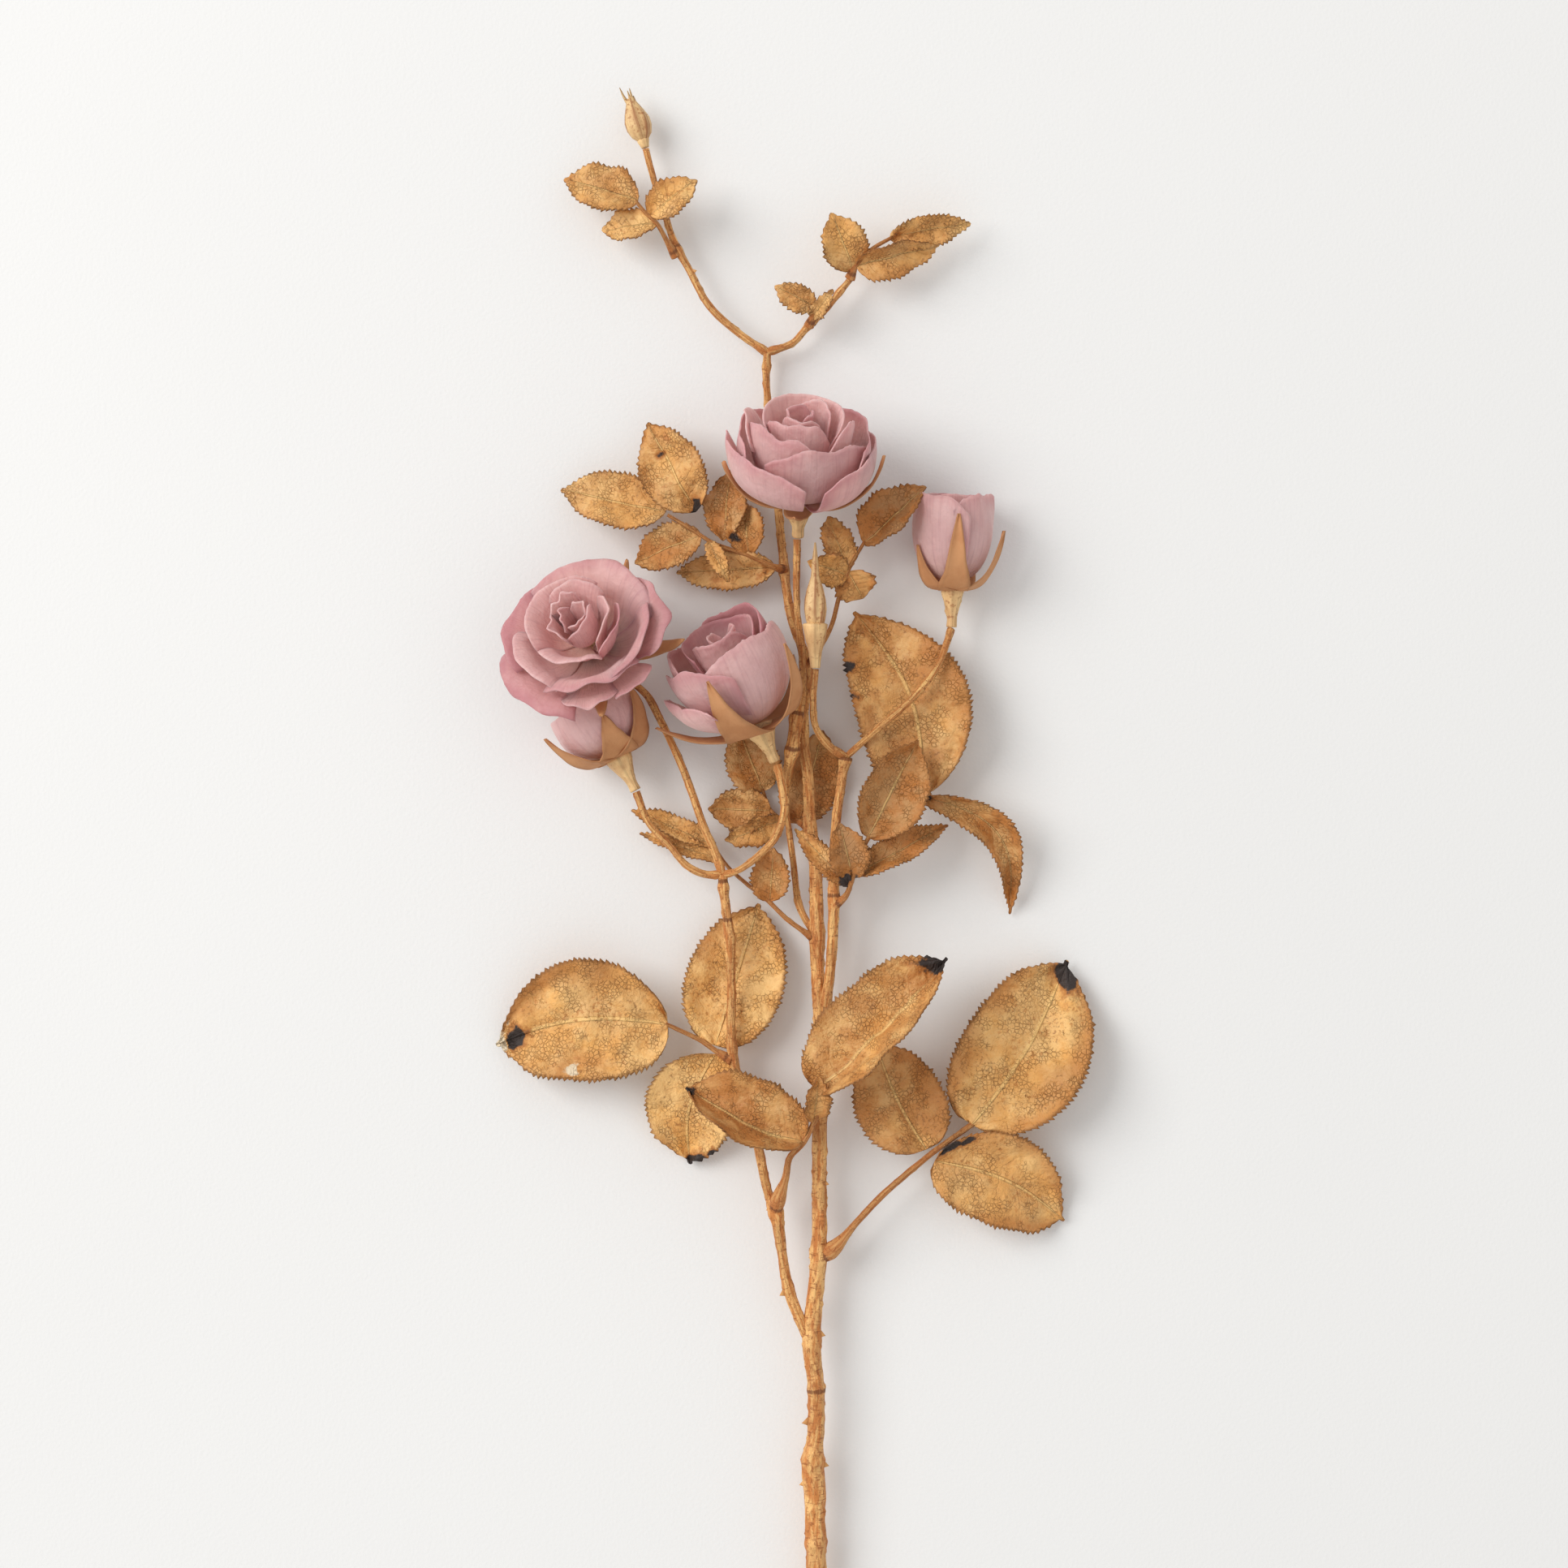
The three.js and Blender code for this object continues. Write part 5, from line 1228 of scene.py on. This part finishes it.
def make_petal(colours):
    """Mauve petal: warm at its foot, deeper towards its rim, with faint veins along it, and
    painted shade and painted light from each petal's tint.
    """
    graph, shader = new_material("mauve_petal")
    along, across = graph.uv()
    shade = colours.petal_shade
    skin = graph.mix(graph.step(along, 0.05, 0.6), colours.petal_foot, colours.petal_light)
    outer = graph.math("MAXIMUM", graph.step(along, 0.78, 1.0),
                       graph.step(graph.away(across), 0.7, 1.0))
    cloud = graph.noise(90.0, detail=3.0)
    outer = graph.times(outer, graph.step(cloud, 0.25, 0.6, 0.15, 0.7))
    # The tint attribute adds the rim colour as painted shade where it is above 0. Where it is
    # below 0 it is painted light that takes the rim colour away.
    skin = graph.mix(graph.plus(outer, graph.attribute(TINT), clamp=True), skin, shade)
    lines = graph.add("ShaderNodeCombineXYZ", {0: graph.times(along, 2.0),
                                               1: graph.times(across, 34.0)}).outputs[0]
    vein = graph.noise(1.0, lines, detail=2.0, distortion=0.4)
    skin = graph.mix(graph.step(vein, 0.45, 0.72, 0.0, 0.34), skin, shade)
    skin = graph.spots("mottle", skin, shade, 140.0, 0.18)
    for socket, value in (("Subsurface Weight", 0.6), ("Subsurface Scale", 0.003),
                          ("Subsurface Radius", (1, 0.75, 0.7)), ("Sheen Weight", 0.15),
                          ("Sheen Roughness", 0.5)):
        shader.inputs[socket].default_value = value
    wrinkles = graph.times(graph.noise(150.0, detail=3.0), 4.0)
    relief = graph.plus(vein, graph.plus(graph.noise(600.0), wrinkles))
    finish_material(graph, shader, skin, graph.step(cloud, 0.3, 0.7, 0.55, 0.68), relief, 0.00015)


def make_sepal(colours):
    """Flat tan sepal, a little darker towards its edges."""
    graph, shader = new_material("tan_sepal")
    edge = graph.times(graph.step(graph.away(graph.uv()[1]), 0.55, 1.0), 0.4)
    skin = graph.mix(edge, colours.sepal, shaded(colours.sepal, 0.6))
    skin = graph.spots("mottle", skin, colours.bark_fleck, 130.0, 0.25)
    finish_material(graph, shader, skin, graph.step(graph.noise(300.0), 0.3, 0.7, 0.7, 0.85),
                    graph.noise(500.0), 0.0002)


def make_case(name, light, patch, speck):
    """Smooth cream or green skin of a seed case or a closed bud."""
    graph, shader = new_material(name)
    streaks = graph.group("fibre", {"Along": 0.5, "Round": 2.8})
    skin = graph.mix(graph.step(streaks, 0.42, 0.66), light, patch)
    skin = graph.spots("mottle", skin, speck, 160.0, 0.35)
    skin = graph.spots("speckle", skin, speck, 900.0, 0.6)
    finish_material(graph, shader, skin, graph.step(streaks, 0.3, 0.7, 0.45, 0.62), streaks,
                    0.0004)


def make_floor():
    """Plain pale floor."""
    graph, shader = new_material("pale_floor")
    cloud = graph.noise(3.0, detail=2.0)
    skin = graph.mix(graph.step(cloud, 0.3, 0.7), (0.865, 0.865, 0.86), (0.88, 0.88, 0.875))
    finish_material(graph, shader, skin, graph.step(cloud, 0.3, 0.7, 0.9, 0.95),
                    graph.noise(900.0), 0.0001)


# ---- Stage ----------------------------------------------------------------------------

# The middle of the camera's view, how wide the view is at a height over the floor (m), and the
# camera's lens and sensor (mm).
CAMERA_X, CAMERA_Y = -0.00275, 0.0655
VIEW_WIDTH, VIEW_HEIGHT = 0.483, 0.015
LENS, SENSOR = 85.0, 36.0

# The window light: its place, its side (m), its power (W) and what it is aimed at.
WINDOW_PLACE, WINDOW_SIZE, WINDOW_WATTS = (-2.2, 1.05, 2.1), 2.0, 63
WINDOW_AIM = (0, 0.06, 0)
PALE_LIGHT, SKY_STRENGTH = (1, 0.99, 0.975), 0.66
FLOOR_HALF = 3


def add_camera():
    """A camera that looks straight down on the whole spray."""
    data = bpy.data.cameras.new("camera")
    data.lens, data.sensor_width = LENS, SENSOR
    data.clip_start, data.clip_end = 0.01, 50
    camera = bpy.data.objects.new("camera", data)
    camera.location = (CAMERA_X, CAMERA_Y, VIEW_HEIGHT + VIEW_WIDTH * LENS / SENSOR)
    bpy.context.scene.collection.objects.link(camera)
    bpy.context.scene.camera = camera


def add_window():
    """A square soft light aimed at the middle of the spray."""
    data = bpy.data.lights.new("window", "AREA")
    data.size, data.energy, data.color = WINDOW_SIZE, WINDOW_WATTS, PALE_LIGHT
    light = bpy.data.objects.new("window", data)
    light.location = WINDOW_PLACE
    aim = Vector(WINDOW_AIM) - Vector(WINDOW_PLACE)
    light.rotation_mode = "QUATERNION"
    light.rotation_quaternion = aim.to_track_quat("-Z", "Y")
    bpy.context.scene.collection.objects.link(light)


def add_floor():
    """The floor the spray lies on."""
    bm = new_bmesh()
    bmesh.ops.create_grid(bm, x_segments=1, y_segments=1, size=FLOOR_HALF, calc_uvs=True)
    mesh = bpy.data.meshes.new("floor")
    bm.to_mesh(mesh)
    bm.free()
    mesh.materials.append(bpy.data.materials["pale_floor"])
    floor = bpy.data.objects.new("floor", mesh)
    bpy.context.scene.collection.objects.link(floor)


def add_sky():
    """Even pale light from all round."""
    world = bpy.data.worlds.new("studio")
    world.use_nodes = True
    background = world.node_tree.nodes["Background"]
    background.inputs["Color"].default_value = (*PALE_LIGHT, 1)
    background.inputs["Strength"].default_value = SKY_STRENGTH
    bpy.context.scene.world = world


# ---- Operators and panel --------------------------------------------------------------

class SPRAY_OT_materials(bpy.types.Operator):
    """Make the materials of the dried pieces and the floor"""

    bl_idname = "spray.materials"
    bl_label = "Materials"

    def execute(self, context):
        """Makes the shared effects, then the materials that use them."""
        colours = context.scene.spray_colours
        for make in (make_mottle_group, make_speckle_group, make_fibre_group, make_scorch_group):
            make()
        for make in (make_bark, make_leaf, make_petal, make_sepal):
            make(colours)
        make_case("cream_case", colours.hip, shaded(colours.hip, 0.7), colours.bark_fleck)
        make_case("ribbed_bud", shaded(colours.hip, 0.86), shaded(colours.sepal, 0.75),
                  colours.bark_fleck)
        make_floor()
        return {"FINISHED"}


class SPRAY_OT_stage(bpy.types.Operator):
    """Make the camera, the lights and the floor"""

    bl_idname = "spray.stage"
    bl_label = "Stage"

    def execute(self, context):
        """Adds the camera first, then the lights and the floor."""
        add_camera()
        add_window()
        context.scene.view_settings.view_transform = "Standard"
        add_sky()
        add_floor()
        return {"FINISHED"}


class SPRAY_OT_stems(bpy.types.Operator):
    """Make the main stem, the side stems and the stalks"""

    bl_idname = "spray.stems"
    bl_label = "Stems"

    def execute(self, context):
        """Makes one piece for each stem."""
        for name in STEMS:
            build_stem(name)
        return {"FINISHED"}


class SPRAY_OT_leaves(bpy.types.Operator):
    """Make the dried compound leaves"""

    bl_idname = "spray.leaves"
    bl_label = "Leaves"

    def execute(self, context):
        """Makes one piece for each leaf."""
        for name in LEAVES:
            build_leaf(name)
        return {"FINISHED"}


class SPRAY_OT_calyxes(bpy.types.Operator):
    """Make the seed cases and sepals under the blooms"""

    bl_idname = "spray.calyxes"
    bl_label = "Seed cases and sepals"

    def execute(self, context):
        """Makes one piece for each bloom."""
        for name in BLOOMS:
            build_calyx(name)
        return {"FINISHED"}


class SPRAY_OT_petals(bpy.types.Operator):
    """Make the petals of the blooms"""

    bl_idname = "spray.petals"
    bl_label = "Petals"

    def execute(self, context):
        """Makes one piece for each petal."""
        for name in BLOOMS:
            build_petals(name)
        return {"FINISHED"}


class SPRAY_OT_hearts(bpy.types.Operator):
    """Make the tight middles of the blooms"""

    bl_idname = "spray.hearts"
    bl_label = "Hearts"

    def execute(self, context):
        """Makes one piece for each bloom."""
        for name in BLOOMS:
            build_heart(name)
        return {"FINISHED"}


class SPRAY_OT_closed_buds(bpy.types.Operator):
    """Make the two closed buds"""

    bl_idname = "spray.closed_buds"
    bl_label = "Closed buds"

    def execute(self, context):
        """Makes one piece for each closed bud."""
        for name in CLOSED_BUDS:
            build_closed_bud(name)
        return {"FINISHED"}


OPERATORS = (
    SPRAY_OT_materials, SPRAY_OT_stage, SPRAY_OT_stems, SPRAY_OT_leaves, SPRAY_OT_calyxes,
    SPRAY_OT_petals, SPRAY_OT_hearts, SPRAY_OT_closed_buds,
)


class SPRAY_PT_panel(bpy.types.Panel):
    """Sizes, colours and building steps of the spray rose"""

    bl_label = "Cut Spray Rose"
    bl_idname = "SPRAY_PT_panel"
    bl_space_type = "VIEW_3D"
    bl_region_type = "UI"
    bl_category = "Spray Rose"

    def draw(self, context):
        """Lists the settings and the operators."""
        for group in (context.scene.spray_sizes, context.scene.spray_colours):
            for name in group.__annotations__:
                self.layout.prop(group, name)
        for operator in OPERATORS:
            self.layout.operator(operator.bl_idname)


CLASSES = (SpraySizes, SprayColours, *OPERATORS, SPRAY_PT_panel)


def register():
    """Registers the classes and the settings."""
    for each in CLASSES:
        bpy.utils.register_class(each)
    bpy.types.Scene.spray_sizes = PointerProperty(type=SpraySizes)
    bpy.types.Scene.spray_colours = PointerProperty(type=SprayColours)


def unregister():
    """Removes the settings and the classes."""
    del bpy.types.Scene.spray_colours
    del bpy.types.Scene.spray_sizes
    for each in reversed(CLASSES):
        bpy.utils.unregister_class(each)


def main():
    """Builds the spray and its stage."""
    register()
    for operator in OPERATORS:
        getattr(bpy.ops.spray, operator.bl_idname.split(".")[1])()
    bpy.context.view_layer.update()


if __name__ == "__main__":
    main()
